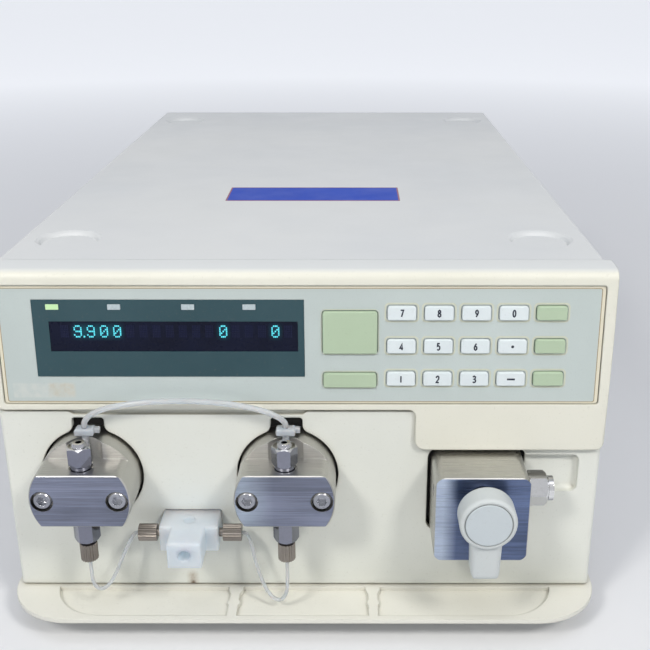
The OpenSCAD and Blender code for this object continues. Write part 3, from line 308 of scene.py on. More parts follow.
def brushed(name, shade, second, stretch, rough=(0.24, 0.42), strength=0.25, edge=0.4,
            streaks=0.4, above=None, below=None, front=None):
    """Steel with brush lines that run along the axis with the small scale. above and below are
    painted reflections: the colours of the faces that look up and down. front is what
    lapped_face_and_reflection takes for the foremost face, with its painted reflection and
    sheen."""
    b = Build(name, metallic=1.0)
    lines = b.noise(1.0, 4, 0.6, b.scaled(stretch))
    b.shades(b.patchy(26, 3), shade, second)
    # Painted light: faces that look up take the above colour and faces that look down the below
    # colour, as reflections.
    if above:
        b.paint(b.skyward(), above)
    if below:
        b.show(b.mix(b.skyward(-0.8, -0.3), srgb(*below), b.colour))
    if front:
        lapped_face_and_reflection(b, stretch, *front)
    b.paint(b.spread(lines, 0.45, 0.75, 0.0, streaks), (104, 104, 108))
    b.to("Roughness", b.spread(lines, 0.3, 0.7, *rough))
    b.to("Normal", b.bump(lines, strength, 0.00002, b.soft_edges(edge * MM)))
    return b


def fluoropolymer(name, shade, second, through, rough=(0.3, 0.42), edge=1.0, grain=FINE_DEPTH,
                  depth=0.009):
    """Milky, waxy plastic that lets light into its depth."""
    b = Build(name, ior=1.36, subsurface_weight=0.9, subsurface_scale=depth,
              subsurface_radius=(0.75, 0.9, 1.0), transmission_weight=through)
    b.shades(b.patchy(120, 3), shade, second)
    b.to("Roughness", b.uneven(260, 3, *rough))
    b.to("Normal", b.bump(b.noise(700, 2), 0.2, grain, b.soft_edges(edge * MM)))
    return b


# ------------------------------------------------------- the moulded housing

cover_paint = enamel("cover_paint", (214, 216, 216), (207, 210, 212))
# The bezel, the lower panel and the tray take painted shade in their corners.
bezel_plastic = plastic("bezel_plastic", (223, 222, 210), (218, 217, 204),
                        corner_shading=((160, 146, 116), 0.003, 0.4), edge=0.9 * MM)
lower_plastic = plastic("lower_plastic", (225, 227, 220), (219, 221, 213),
                        corner_shading=((160, 146, 120), 0.004, 0.4), edge=0.9 * MM)
tray_plastic = plastic("tray_plastic", (229, 228, 219), (223, 222, 212),
                       corner_shading=((170, 156, 124), 0.003, 0.16), edge=0.8 * MM)


def dried_drip(b):
    """A drop that ran down the panel from the inlet block and dried: a
    brown streak, and a dark dot where it met the tray."""
    low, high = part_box("inlet_block")
    x = (low[0] + high[0]) / 2 - 2.0 * MM
    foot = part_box("drip_tray")[1][2]
    hidden, streak_top, dot_top = foot - 2 * MM, foot + 7 * MM, foot + 2.4 * MM
    streak_half, streak_soft, dot_soft = 1.7 * MM, 1.4 * MM, 0.6 * MM
    streak = b.inside(streak_soft, x=(x - streak_half, x + streak_half), z=(hidden, streak_top))
    dot = b.inside(dot_soft, x=(x - 0.7 * MM, x + 0.9 * MM), z=(hidden, dot_top))
    grainy = b.uneven(1400, 3, 0.6, 1.0)
    b.paint(b.times(b.times(streak, grainy), 0.65), (146, 122, 92))
    b.paint(b.times(dot, 0.9), (84, 62, 44))


def cool_shaded_top(b):
    """The nose painted a cooler grey along its top, like the cover's: painted shade."""
    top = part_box("front_bezel")[1][2]
    depth, above, soft = 1.1 * MM, 9 * MM, 0.7 * MM
    top_band = b.inside(soft, z=(top - depth, top + above))
    b.paint(b.times(top_band, 0.8), (212, 216, 219))


dried_drip(lower_plastic)
# Painted shade along the top of the bezel.
cool_shaded_top(bezel_plastic)
dress(cover_paint, "top_cover", "rear_panel")
dress(bezel_plastic, "front_bezel")
dress(lower_plastic, "front_panel")
dress(tray_plastic, "drip_tray")


# --------------------------------------------------- control panel and keys

def control_sheet():
    """Grey-green painted sheet with a faint patch of old adhesive."""
    b = Build("control_sheet", ior=1.45)
    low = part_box("control_panel")[0]
    left, foot = low[0], low[2]
    b.shades(b.patchy(11, 4), (190, 200, 198), (184, 194, 192))
    b.specks(1300, 1, 0.6, 0.12, (140, 146, 144))
    right, top = left + 30 * MM, foot + 9 * MM          # of the patch
    patch = b.inside(0.4 * MM, x=(left + 4 * MM, right), z=(foot + 2.6 * MM, top))
    browned = b.inside(0.7 * MM, x=(left + 19 * MM, right), z=(foot + 3 * MM, top))
    b.paint(b.times(patch, b.patchy(320, 4, 0.1, 0.55)), (206, 208, 202))
    b.paint(b.times(browned, b.uneven(500, 4, 0.1, 0.6)), (190, 180, 158))
    b.to("Roughness", b.uneven(60, 3, 0.38, 0.5))
    b.to("Normal", b.bump(b.noise(1800, 2), 0.25, FINE_DEPTH))
    return b


def lens_glow():
    """Four lenses; the one at the left is lit."""
    b = Build("lens_glow", ior=1.5, emission_strength=0.12)
    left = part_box("status_lenses")[0][0]
    lit = b.inside(0.2 * MM, x=(left - MM, left + 8 * MM))
    b.shades(b.uneven(900, 2), (168, 182, 188), (184, 196, 200))
    b.paint(lit, (186, 220, 168))
    b.to("Roughness", b.uneven(300, 2, 0.25, 0.4))
    b.to("Emission Color", b.mix(lit, (0, 0, 0, 1), srgb(190, 232, 172)))
    return b


key_white = plastic("key_white", (218, 226, 228), (213, 222, 225), rough=(0.3, 0.4),
                    depth=0.00001, edge=0.3 * MM)
key_green = plastic("key_green", (176, 195, 168), (171, 189, 162), rough=(0.32, 0.42),
                    depth=0.00001, edge=0.3 * MM)
window_teal = plastic("window_teal", (38, 68, 76), (44, 74, 82), rough=(0.16, 0.24),
                      depth=0.000006, blotch=20, gloss=0.35)
GREEN_KEYS = ("key_function", "key_clear", "key_enter", "key_pump", "key_program")
WHITE_KEYS = [n for n in NODES if n.startswith("key_") and n not in GREEN_KEYS]
dress(control_sheet(), "control_panel")
dress(key_white, *WHITE_KEYS)
dress(key_green, *GREEN_KEYS)
dress(window_teal, "display_window")
dress(lens_glow(), "status_lenses")


# --------------------------------------------------- steel and fluoropolymer

HEADS_BOX, BLOCK_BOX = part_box("pump_heads"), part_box("valve_block")
HEAD_W = 43.4 * MM
right_head = HEADS_BOX[1][0] - HEAD_W       # the right head's left edge
block_left = BLOCK_BOX[0][0]
# Painted sheen: bands of reflected light across the right head's face and the block's face.
heads_sheen = (right_head - 2 * MM, right_head + 11 * MM, 7 * MM, (178, 191, 206))
block_sheen = (block_left - 8 * MM, block_left + 6.5 * MM, 3 * MM, (196, 208, 226))
# The foremost faces of the heads and the block take a darker, bluish painted reflection.
steel_face = brushed("steel_face", (198, 196, 191), (184, 183, 180), (70, 4200, 4200),
                     (0.26, 0.4), 0.14, edge=0.25,
                     front=((112, 117, 134), HEADS_BOX[0][1], heads_sheen))
steel_block = brushed("steel_block", (199, 198, 193), (187, 186, 183), (90, 2600, 2600),
                      (0.24, 0.38), edge=0.25, streaks=0.3,
                      front=((86, 98, 127), BLOCK_BOX[0][1], block_sheen))
TURNED = (700, 700, 700)
steel_bright = brushed("steel_bright", (212, 212, 214), (198, 199, 204), TURNED, (0.1, 0.16),
                       0.02, edge=0.15, streaks=0.12)
# union_steel is lighter than the other steel, a painted highlight, with painted reflections on
# its up- and down-facing faces.
union_steel = brushed("union_steel", (240, 240, 238), (226, 227, 230), TURNED, (0.1, 0.16),
                      0.02, edge=0.15, streaks=0.1, above=(176, 176, 178), below=(92, 106, 150))
# valve_steel is darker and bluish, a painted reflection, and so are its up- and down-facing
# faces.
valve_steel = brushed("valve_steel", (112, 116, 136), (92, 97, 122), TURNED, (0.07, 0.13),
                      0.02, edge=0.2, streaks=0.15, above=(206, 205, 204), below=(88, 100, 140))
# screw_steel is darker and bluish, with lighter tops: painted reflection.
screw_steel = brushed("screw_steel", (150, 153, 164), (126, 129, 142), (900, 900, 900),
                      (0.12, 0.2), 0.05, edge=0.25, streaks=0.3, above=(210, 210, 210))
nut_steel = brushed("nut_steel", (150, 143, 135), (128, 121, 114), (1200, 1200, 1200),
                    (0.3, 0.42), 0.08, edge=0.1, streaks=0.2)
zinc = brushed("zinc_plate", (176, 176, 168), (160, 160, 154), (300, 300, 300), (0.3, 0.5), 0.1)
alloy = brushed("cast_alloy", (180, 181, 184), (166, 167, 170), (800, 800, 800), (0.4, 0.6), 0.4)
bronze = brushed("bronze", (176, 140, 92), (160, 124, 78), (900, 900, 900), (0.35, 0.5), 0.3)
dress(steel_face, "pump_heads")
dress(steel_block, "valve_block")
dress(valve_steel, "check_valves")
dress(screw_steel, "head_screws")
dress(union_steel, "outlet_union")
dress(steel_bright, "valve_stem",
      "left_crosshead", "right_crosshead", "left_roller", "right_roller", "camshaft")
dress(nut_steel, "tube_nuts")
dress(zinc, "base_chassis", "cover_screws")
dress(alloy, "motor_pulley")
dress(bronze, "bearings")

ptfe = fluoropolymer("ptfe_block", (215, 230, 253), (208, 225, 250), 0.12, (0.36, 0.48),
                     edge=1.2, depth=0.03)
ptfe_small = fluoropolymer("ptfe_fitting", (210, 217, 226), (198, 206, 217), 0.3, edge=0.6)
tube_plastic = fluoropolymer("tube_plastic", (224, 230, 238), (216, 223, 232), 0.45,
                             (0.16, 0.24), edge=0.01, grain=0.000005)
dress(ptfe, "inlet_block")
dress(ptfe_small, "rinse_fittings")
dress(tube_plastic, "rinse_tube", "inlet_tubes")


# ----------------------------------------------------- knob and inner pieces

def shaded_gap_line(b, node, width):
    """Painted shade in the gap round a disc, as a thin dark line along its edge."""
    low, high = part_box(node)
    r = (high[0] - low[0]) / 2
    away = b.from_axis((low[0] + high[0]) / 2, (low[2] + high[2]) / 2)
    b.paint(b.spread(away, r - width, r - width / 3, 0.0, 0.75), (70, 72, 66))


knob_plastic = plastic("knob_plastic", (201, 206, 206), (195, 201, 202), rough=(0.34, 0.44),
                       edge=1.1 * MM)
cap_plastic = plastic("cap_plastic", (193, 201, 205), (188, 197, 202), rough=(0.4, 0.5),
                      edge=0.2 * MM)
# A painted shadow in the gap round the cap.
shaded_gap_line(cap_plastic, "knob_cap", 0.42 * MM)
black_paint = plastic("black_paint", (14, 14, 15), (20, 20, 21), rough=(0.55, 0.7))
black_rubber = plastic("black_rubber", (30, 30, 31), (38, 38, 38), grain=1200, depth=0.0001,
                       rough=(0.7, 0.85))
black_plastic = plastic("black_plastic", (24, 24, 25), (30, 30, 31), rough=(0.35, 0.5))
board = plastic("circuit_board", (30, 92, 58), (24, 80, 50), rough=(0.3, 0.45))
core = plastic("core_iron", (84, 76, 70), (70, 64, 58), rough=(0.5, 0.65))
sapphire = plastic("sapphire", (226, 228, 236), (220, 224, 234), rough=(0.05, 0.1),
                   depth=PRINT_DEPTH)
tube_glass = plastic("tube_glass", (20, 20, 34), (26, 26, 42), rough=(0.05, 0.1),
                     depth=PRINT_DEPTH)
dress(knob_plastic, "drain_knob")
dress(cap_plastic, "knob_cap")
dress(black_paint, "drive_frame", "motor")
dress(black_rubber, "feet", "plunger_seals", "timing_belt")
dress(black_plastic, "power_inlet")
dress(board, "control_board", "main_board")
dress(core, "transformer")
dress(sapphire, "left_plunger", "right_plunger")
dress(tube_glass, "display_tube")


# ------------------------------------------------------------ piece helpers

def piece(name, shape, build, body="housing", smooth=False):
    """A mesh piece that rides on a body, or on none where body is None."""
    verts, faces = shape
    mesh = bpy.data.meshes.new(name)
    mesh.from_pydata([tuple(v) for v in verts], [], faces)
    mesh.validate()
    bm = bmesh.new()
    bm.from_mesh(mesh)
    bmesh.ops.recalc_face_normals(bm, faces=bm.faces)
    bm.to_mesh(mesh)
    bm.free()
    obj = bpy.data.objects.new(name, mesh)
    bpy.context.scene.collection.objects.link(obj)
    obj.data.materials.append(build.mat)
    if smooth:
        for p in mesh.polygons:
            p.use_smooth = True
    if body:
        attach(obj, body)
    return obj


def extent(values):
    """The middle and the half width of some values."""
    return (max(values) + min(values)) / 2, (max(values) - min(values)) / 2


class Face:
    """The leaning front of the control panel: x to the right, v up the
    panel, out towards the operator, from the middle of its sheet."""

    def __init__(self):
        press = [j for j in frame["joints"] if j["name"] == "key_7_press"][0]["axis"]
        self.inward = Vector(press).normalized()
        self.up = Vector((0, -self.inward.z, self.inward.y))
        corners = [v.co for v in NODES["control_panel"].data.vertices]
        front = min(c.dot(self.inward) for c in corners)
        middle_x, half_x = extent([c.x for c in corners])
        middle_v, half_v = extent([c.dot(self.up) for c in corners])
        self.half = (half_x, half_v)
        self.origin = Vector((middle_x, 0, 0)) + self.inward * front + self.up * middle_v

    def at(self, x, v, out=0.0):
        return self.origin + Vector((x, 0, 0)) + self.up * v - self.inward * out

    def of(self, node):
        """A node's middle and half size on the panel, and how far out it
        comes, from the corners within half a millimetre of its front."""
        corners = [v.co - self.origin for v in NODES[node].data.vertices]
        out = max(-c.dot(self.inward) for c in corners)
        near = [c for c in corners if -c.dot(self.inward) > out - 0.5 * MM]
        x, half_x = extent([c.x for c in near])
        v, half_v = extent([c.dot(self.up) for c in near])
        return x, v, half_x, half_v, out


panel = Face()


def rounded_loop(half_x, half_y, r, steps=6):
    """The corners of a rounded rectangle about the origin, in order."""
    points = []
    for cx, cy, start in ((1, 1, 0), (-1, 1, 90), (-1, -1, 180), (1, -1, 270)):
        for i in range(steps + 1):
            a = math.radians(start + 90 * i / steps)
            points.append((cx * (half_x - r) + r * math.cos(a),
                           cy * (half_y - r) + r * math.sin(a)))
    return points


def ring_strip(centre, outer, inner, out, thick, at=panel.at):
    """A flat raised ring between two rounded loops, as verts and faces."""
    n = len(outer)
    verts = []
    for loop, level in ((outer, 0.0), (outer, thick), (inner, thick), (inner, 0.0)):
        for x, y in loop:
            verts.append(at(centre[0] + x, centre[1] + y, out + level))
    faces = []
    for row in range(4):
        low, high = row * n, ((row + 1) % 4) * n
        for i in range(n):
            j = (i + 1) % n
            faces.append((low + i, low + j, high + j, high + i))
    return verts, faces


def slab(centre, half, out, thick, at=panel.at):
    """A thin block lying on a face."""
    (cx, cy), (hx, hy) = centre, half
    verts = [at(cx + sx * hx, cy + sy * hy, out + level)
             for level in (0.0, thick) for sx, sy in ((-1, -1), (1, -1), (1, 1), (-1, 1))]
    sides = [(i, (i + 1) % 4, 4 + (i + 1) % 4, 4 + i) for i in range(4)]
    return verts, [(3, 2, 1, 0), (4, 5, 6, 7)] + sides


def stroke(points, width, out, thick, at=panel.at):
    """A stroke of even width along a line of points, mitred at its bends,
    by no more than longest times the width."""
    longest, least = 1.8, 0.4
    closed = points[0] == points[-1]
    pts = [Vector(p) for p in (points[:-1] if closed else points)]
    n = len(pts)
    left, right = [], []
    for i, p in enumerate(pts):
        before = pts[i - 1] if (closed or i > 0) else p
        after = pts[(i + 1) % n] if (closed or i < n - 1) else p
        d1 = (p - before).normalized() if before != p else (after - p).normalized()
        d2 = (after - p).normalized() if after != p else d1
        d = (d1 + d2).normalized() if (d1 + d2).length > 0.2 else d1
        side = Vector((-d.y, d.x))
        stretch = min(1.0 / max(side.dot(Vector((-d1.y, d1.x))), least), longest)
        left.append(p + side * width / 2 * stretch)
        right.append(p - side * width / 2 * stretch)
    verts = [at(q.x, q.y, out + level)
             for level in (0.0, thick) for line in (left, right) for q in line]
    faces = []
    for i in range(n if closed else n - 1):
        j = (i + 1) % n
        for a, b in ((2, 3), (1, 0)):
            faces.append((a * n + i, a * n + j, b * n + j, b * n + i))
        faces.append((i, j, 2 * n + j, 2 * n + i))
        faces.append((3 * n + i, 3 * n + j, n + j, n + i))
    if not closed:
        for i in (0, n - 1):
            faces.append((i, n + i, 3 * n + i, 2 * n + i))
    return verts, faces


def join(parts):
    """Several shapes as one."""
    verts, faces = [], []
    for v, f in parts:
        base = len(verts)
        verts += v
        faces += [tuple(i + base for i in face) for face in f]
    return verts, faces


# ------------------------------------------------ the panel's printed border

def printed(name, shade, second):
    return plastic(name, shade, second, rough=(0.4, 0.5), depth=PRINT_DEPTH)


rim_print = printed("border_rim", (222, 216, 196), (214, 208, 188))
gold = printed("border_line", (158, 140, 104), (146, 128, 94))
halo = printed("key_halo", (201, 203, 186), (196, 199, 182))
ink = printed("legend_ink", (30, 36, 56), (24, 30, 48))

LINE_W, LINE_THICK, RIM_THICK = 0.3 * MM, 0.04 * MM, 0.05 * MM
SHEET_R, RIM_R, LINE_R = 1.14 * MM, 0.9 * MM, 0.7 * MM
# Left, right, top and bottom, in from the sheet's sides
SHEET_INSET = (0.06 * MM,) * 4
RIM_INSET = (1.2 * MM, 1.35 * MM, 0.95 * MM, 0.6 * MM)
LINE_INSET = tuple(side + LINE_W for side in RIM_INSET)


def frame_loop(inset, r):
    """A rounded loop that far inside the four sides of the sheet."""
    left, right, top, bottom = inset
    half_x = panel.half[0] - (left + right) / 2
    half_y = panel.half[1] - (top + bottom) / 2
    dx, dy = (left - right) / 2, (bottom - top) / 2
    return [(x + dx, y + dy) for x, y in rounded_loop(half_x, half_y, r)]


sheet_edge = frame_loop(SHEET_INSET, SHEET_R)
rim_inner = frame_loop(RIM_INSET, RIM_R)
line_inner = frame_loop(LINE_INSET, LINE_R)
piece("border_rim", ring_strip((0, 0), sheet_edge, rim_inner, 0.0, RIM_THICK), rim_print)
piece("border_line", ring_strip((0, 0), rim_inner, line_inner, 0.0, LINE_THICK), gold)


# ----------------------------------------------- key outlines and key legends

MARK_THICK, MARK_GAP = 0.03 * MM, 0.01 * MM
HALO_GAP, HALO_W, THIN_HALO_W = 0.45 * MM, 0.75 * MM, 0.3 * MM
HALO_R, HALO_INNER_R = 1.9 * MM, 1.3 * MM


def key_halo(name):
    """The printed outline round a key; thinner round the two wide keys."""
    x, y, hx, hy, _ = panel.of(name)
    wide = HALO_GAP + (THIN_HALO_W if name in ("key_pump", "key_program") else HALO_W)
    return ring_strip((x, y), rounded_loop(hx + wide, hy + wide, HALO_R),
                      rounded_loop(hx + HALO_GAP, hy + HALO_GAP, HALO_INNER_R), 0.0, MARK_THICK)


piece("key_halos", join([key_halo(name) for name in (*WHITE_KEYS, *GREEN_KEYS)]), halo)

# Strokes of the key legends in a cell 1 wide and 2 high
ZERO = [(0.5 + 0.36 * math.cos(math.radians(a)), 1 + 0.9 * math.sin(math.radians(a)))
        for a in range(0, 361, 20)]
STROKES = {
    "0": ZERO,
    "1": [(0.5, 0.08), (0.5, 1.92)],
    "2": [(0.12, 1.4), (0.2, 1.74), (0.5, 1.92), (0.8, 1.74), (0.86, 1.4), (0.74, 1.02),
          (0.12, 0.08), (0.9, 0.08)],
    "3": [(0.14, 1.6), (0.3, 1.86), (0.56, 1.92), (0.8, 1.72), (0.8, 1.34), (0.62, 1.1),
          (0.4, 1.04), (0.62, 1.0), (0.86, 0.76), (0.86, 0.4), (0.66, 0.12), (0.36, 0.08),
          (0.12, 0.32)],
    "4": [(0.66, 0.08), (0.66, 1.92), (0.06, 0.58), (0.94, 0.58)],
    "5": [(0.84, 1.92), (0.26, 1.92), (0.2, 1.16), (0.5, 1.26), (0.8, 1.08), (0.88, 0.66),
          (0.74, 0.24), (0.44, 0.06), (0.12, 0.28)],
    "6": [(0.7, 1.92), (0.3, 1.24), (0.14, 0.74), (0.22, 0.28), (0.5, 0.08), (0.8, 0.28),
          (0.86, 0.7), (0.7, 1.06), (0.42, 1.14), (0.2, 0.94)],
    "7": [(0.1, 1.92), (0.9, 1.92), (0.36, 0.08)],
    "8": [(0.5, 1.08), (0.22, 1.28), (0.22, 1.68), (0.5, 1.92), (0.78, 1.68), (0.78, 1.28),
          (0.5, 1.08), (0.16, 0.8), (0.14, 0.34), (0.5, 0.08), (0.86, 0.34), (0.84, 0.8),
          (0.5, 1.08)],
    "9": [(0.3, 0.08), (0.7, 0.76), (0.86, 1.26), (0.78, 1.72), (0.5, 1.92), (0.2, 1.72),
          (0.14, 1.3), (0.3, 0.94), (0.58, 0.86), (0.8, 1.06)],
}
LEGEND_W, LEGEND_H, STROKE_W = 1.45 * MM, 3.1 * MM, 0.6 * MM
POINT_R, POINT_HOLE, DASH_HALF = 0.62 * MM, 0.05, (1.65 * MM, 0.4 * MM)


def legend(name):
    """The digit, point or dash on a white key."""
    sign = name.removeprefix("key_")
    x, y, _, _, out = panel.of(name)
    on = out + MARK_GAP
    if sign == "point":
        turn = [i * math.pi / 9 for i in range(18)]
        disc = [(POINT_R * math.cos(a), POINT_R * math.sin(a)) for a in turn]
        hole = [(POINT_HOLE * p, POINT_HOLE * q) for p, q in disc]
        shape = ring_strip((x, y), disc, hole, on, MARK_THICK)
    elif sign == "minus":
        shape = slab((x, y), DASH_HALF, on, MARK_THICK)
    else:
        line = [(x + (px - 0.5) * LEGEND_W, y + (py / 2 - 0.5) * LEGEND_H)
                for px, py in STROKES[sign]]
        shape = stroke(line, STROKE_W, on, MARK_THICK)
    piece("legend_" + sign, shape, ink, body=name + "_cap")


for name in WHITE_KEYS:
    legend(name)


# ------------------------------------------------------------- the display

window_x, window_y, _, _, window_out = panel.of("display_window")
# The aperture's middle, from the window's, and its half size
AP_X, AP_Y = window_x + 2.0 * MM, window_y + 0.95 * MM
AP_HX, AP_HY = 51.45 * MM, 6.55 * MM
DIGIT_W, DIGIT_H, PITCH = 3.4 * MM, 5.4 * MM, 5.45 * MM
CELLS, DOT_ROWS, DOT_COLUMNS = 18, 7, 5
ROW_Y = AP_Y + (AP_HY - 1.7 * MM - DIGIT_H)
FIRST_CELL = AP_X - AP_HX + 4.5 * MM
FLOW_X = AP_X + (-AP_HX + 10.0 * MM)
LIMIT_X = [AP_X + x for x in (18.8 * MM, 40.4 * MM)]
FILTER_BACK, FILTER_THICK = window_out - 0.4 * MM, 0.12 * MM
FILTER_FRONT = FILTER_BACK + FILTER_THICK
LIT_BACK = FILTER_BACK + 0.13 * MM
UNLIT_HALF, UNLIT_THICK = (0.24 * MM, 0.28 * MM), 0.004 * MM
LIT_HALF, POINT_HALF, LIT_THICK = (0.27 * MM, 0.32 * MM), (0.32 * MM, 0.36 * MM), 0.02 * MM
FILTER_CLEAR = 0.03 * MM


def display_filter(lit):
    """Smoked filter over the fluorescent tube; lit digits shine on it."""
    b = Build("display_filter", ior=1.5, specular_ior_level=0.12,
              emission_color=srgb(30, 150, 160))
    b.shades(b.uneven(60, 3), (10, 14, 32), (15, 20, 42))
    b.to("Roughness", b.uneven(200, 2, 0.22, 0.32))
    shine = None
    for span in lit:
        t = b.inside(1.6 * MM, x=span)
        shine = t if shine is None else b.math("MAXIMUM", shine, t)
    row = b.inside(1.5 * MM, z=[panel.at(0, y).z for y in (ROW_Y, ROW_Y + DIGIT_H)])
    b.to("Emission Strength", b.times(b.times(shine, row), 0.16))
    return b


def digit_glow():
    b = Build("digit_glow", emission_strength=0.6)
    b.shades(b.uneven(2500, 2), (70, 182, 194), (86, 211, 225))
    b.to("Emission Color", b.colour)
    return b


def dot_at(left, row, column):
    """The middle of a dot in a digit's cell; row 0 is the lowest."""
    return (left + DIGIT_W * (column + 0.5) / DOT_COLUMNS,
            ROW_Y + DIGIT_H * (row + 0.5) / DOT_ROWS)


shining = [(FLOW_X, FLOW_X + 3 * PITCH + DIGIT_W)] + [(x, x + DIGIT_W) for x in LIMIT_X]
piece("display_filter",
      slab((AP_X, AP_Y), (AP_HX - FILTER_CLEAR, AP_HY - FILTER_CLEAR),
           FILTER_BACK, FILTER_THICK),
      display_filter(shining))

# Cells that aren't lit show as a faint grid of dots
unlit_dots = [slab(dot_at(FIRST_CELL + i * PITCH, row, column), UNLIT_HALF,
                   FILTER_FRONT, UNLIT_THICK)
              for i in range(CELLS) for row in range(DOT_ROWS) for column in range(DOT_COLUMNS)]
unlit_cells = plastic("unlit_cells", (24, 28, 54), (30, 34, 62), rough=(0.3, 0.4), gloss=0.1)
piece("display_cells", join(unlit_dots), unlit_cells)

# Lit dots, from the top row down
DOTS = {
    "9": ["01110", "10001", "10001", "01111", "00001", "10001", "01110"],
    "0": ["01110", "10001", "10011", "10101", "11001", "10001", "01110"],
}


def dotted(sign, left):
    """The dots of a lit digit."""
    return [slab(dot_at(left, DOT_ROWS - 1 - row, column), LIT_HALF, LIT_BACK, LIT_THICK)
            for row, line in enumerate(DOTS[sign])
            for column, mark in enumerate(line) if mark == "1"]


lit = [dot for i, sign in enumerate("9900") for dot in dotted(sign, FLOW_X + i * PITCH)]
lit.append(slab((FLOW_X + 4.3 * MM, ROW_Y + 0.4 * MM), POINT_HALF, LIT_BACK, LIT_THICK))
for x in LIMIT_X:
    lit += dotted("0", x)
piece("display_digits", join(lit), digit_glow())


# ------------------------------------------------------------ the cover

label_blue = plastic("label_blue", (24, 66, 176), (32, 72, 182), rough=(0.4, 0.5),
                     depth=0.000004, blotch=40, gloss=0.1)
label_red = plastic("label_edge", (138, 60, 84), (128, 54, 78), rough=(0.35, 0.45),
                    depth=PRINT_DEPTH)
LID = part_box("top_cover")
FRONT, TOP = LID[0][1], LID[1][2]
PLATE_MIDDLE = (1.2 * MM, 119.25 * MM)
PLATE_HALF = (45.2 * MM, 15.35 * MM)
PLATE_EDGE, PLATE_THICK = 0.8 * MM, 0.08 * MM
PLATE_R, PLATE_INNER_R = 0.5 * MM, 0.2 * MM


def on_lid(x, y, out):
    """x from the middle, y from the front, out above the lid."""
    return Vector((x, FRONT + y, TOP + out))


inner_half = tuple(half - PLATE_EDGE for half in PLATE_HALF)
piece("cover_plate", slab(PLATE_MIDDLE, inner_half, 0.0, PLATE_THICK, on_lid), label_blue)
piece("cover_plate_edge",
      ring_strip(PLATE_MIDDLE, rounded_loop(*PLATE_HALF, PLATE_R),
                 rounded_loop(*inner_half, PLATE_INNER_R), 0.0, PLATE_THICK, on_lid),
      label_red)


# --------------------------------------------------------------- the tubes

def run(points, steps=8):
    """A smooth run through the points, and through its first and last."""
    line = []
    last = len(points) - 1
    for i in range(last):
        p0, p1, p2, p3 = (points[min(max(k, 0), last)] for k in (i - 1, i, i + 1, i + 2))
        for k in range(steps):
            t = k / steps
            line.append(0.5 * (2 * p1 + (p2 - p0) * t + (2 * p0 - 5 * p1 + 4 * p2 - p3) * t * t
                               + (3 * p1 - p0 - 3 * p2 + p3) * t ** 3))
    return line + [points[-1]]


def tube(line, r, sides=20):
    """A closed round tube along a line, without a twist; side, across the
    line, starts along none of the axes."""
    verts, faces, side = [], [], Vector((0.3, 1, 0.2))
    last = len(line) - 1
    for i, p in enumerate(line):
        along = (line[min(i + 1, last)] - line[max(i - 1, 0)]).normalized()
        side = (side - along * side.dot(along)).normalized()
        across = along.cross(side)
        for k in range(sides):
            a = 2 * math.pi * k / sides
            verts.append(p + side * r * math.cos(a) + across * r * math.sin(a))
    for i in range(last):
        for k in range(sides):
            j = (k + 1) % sides
            faces.append((i * sides + k, i * sides + j,
                          (i + 1) * sides + j, (i + 1) * sides + k))
    faces.append(tuple(range(sides)))
    faces.append(tuple(last * sides + k for k in range(sides)))
    return verts, faces


def placed(route):
    """A route as it was drawn: x, depth in front of the cover and drop
    below the lid, in millimetres."""
    return [Vector((x, -y, -z)) * MM + Vector((0, FRONT, TOP)) for x, y, z in route]


RINSE_ROUTE = [
    (-91.5, 21.3, 67.6), (-91, 21.4, 64.5), (-87.5, 21.7, 61), (-80, 22, 58),
    (-68, 22.2, 55.8), (-56, 22.3, 54.9), (-42, 22.3, 55), (-30, 22.2, 56.2),
    (-18, 22, 58.8), (-10.5, 21.7, 62), (-7, 21.4, 65), (-6.5, 21.3, 67.6)]
LEFT_ROUTE = [
    (-71.35, 24.6, 116.8), (-73.5, 24.7, 117.6), (-76, 25.4, 121.5), (-79.5, 27, 129),
    (-82.5, 29, 135.6), (-85.5, 31, 139.8), (-88.6, 32.4, 140.6), (-90.9, 33, 137.5),
    (-91.5, 33.1, 131), (-91.5, 33.1, 124.2)]
RIGHT_ROUTE = [
    (-26.55, 24.6, 116.8), (-24.2, 24.7, 118), (-22.5, 25.2, 123), (-20.5, 26.8, 131.5),
    (-17.5, 29, 140), (-13.8, 30.8, 145.6), (-9.8, 32.2, 146.4), (-7, 33, 141.5),
    (-6.5, 33.1, 133), (-6.5, 33.1, 124.2)]
RINSE_R, INLET_R = 1.25 * MM, 0.8 * MM

rinse_line = piece("rinse_line", tube(run(placed(RINSE_ROUTE)), RINSE_R), tube_plastic,
                   smooth=True)
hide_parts("rinse_tube")
inlets = [tube(run(placed(route)), INLET_R) for route in (LEFT_ROUTE, RIGHT_ROUTE)]
inlet_lines = piece("inlet_lines", join(inlets), tube_plastic, smooth=True)
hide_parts("inlet_tubes")


# ------------------------------------------------------- the return springs

SPRING_TURNS, TURN_STEPS = 5, 24
WIRE_R, WIRE_SIDES = 1.1 * MM, 12
spring_wire = brushed("spring_wire", (150, 150, 152), (132, 133, 138), (500, 500, 500),
                      (0.22, 0.34), 0.05, edge=0.1, streaks=0.25)


def return_spring(side):
    """A coil of wire between the drive frame and a crosshead, made as one piece that rides on no
    body."""
    low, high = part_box("return_springs")
    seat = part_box(side + "_crosshead")
    x, z = (seat[0][0] + seat[1][0]) / 2, (low[2] + high[2]) / 2
    r = (high[2] - low[2]) / 2 - WIRE_R
    start, end = low[1] + WIRE_R, high[1] - WIRE_R
    count = SPRING_TURNS * TURN_STEPS
    line = []
    for i in range(count + 1):
        a = 2 * math.pi * i / TURN_STEPS
        line.append(Vector((x + r * math.cos(a), start + (end - start) * i / count,
                            z + r * math.sin(a))))
    coil = piece(side + "_return_spring", tube(line, WIRE_R, WIRE_SIDES), spring_wire,
                 body=None, smooth=True)
    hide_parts("return_springs")
    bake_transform(coil)


return_spring("left")
return_spring("right")


# --------------------------------------------------------- camera and light

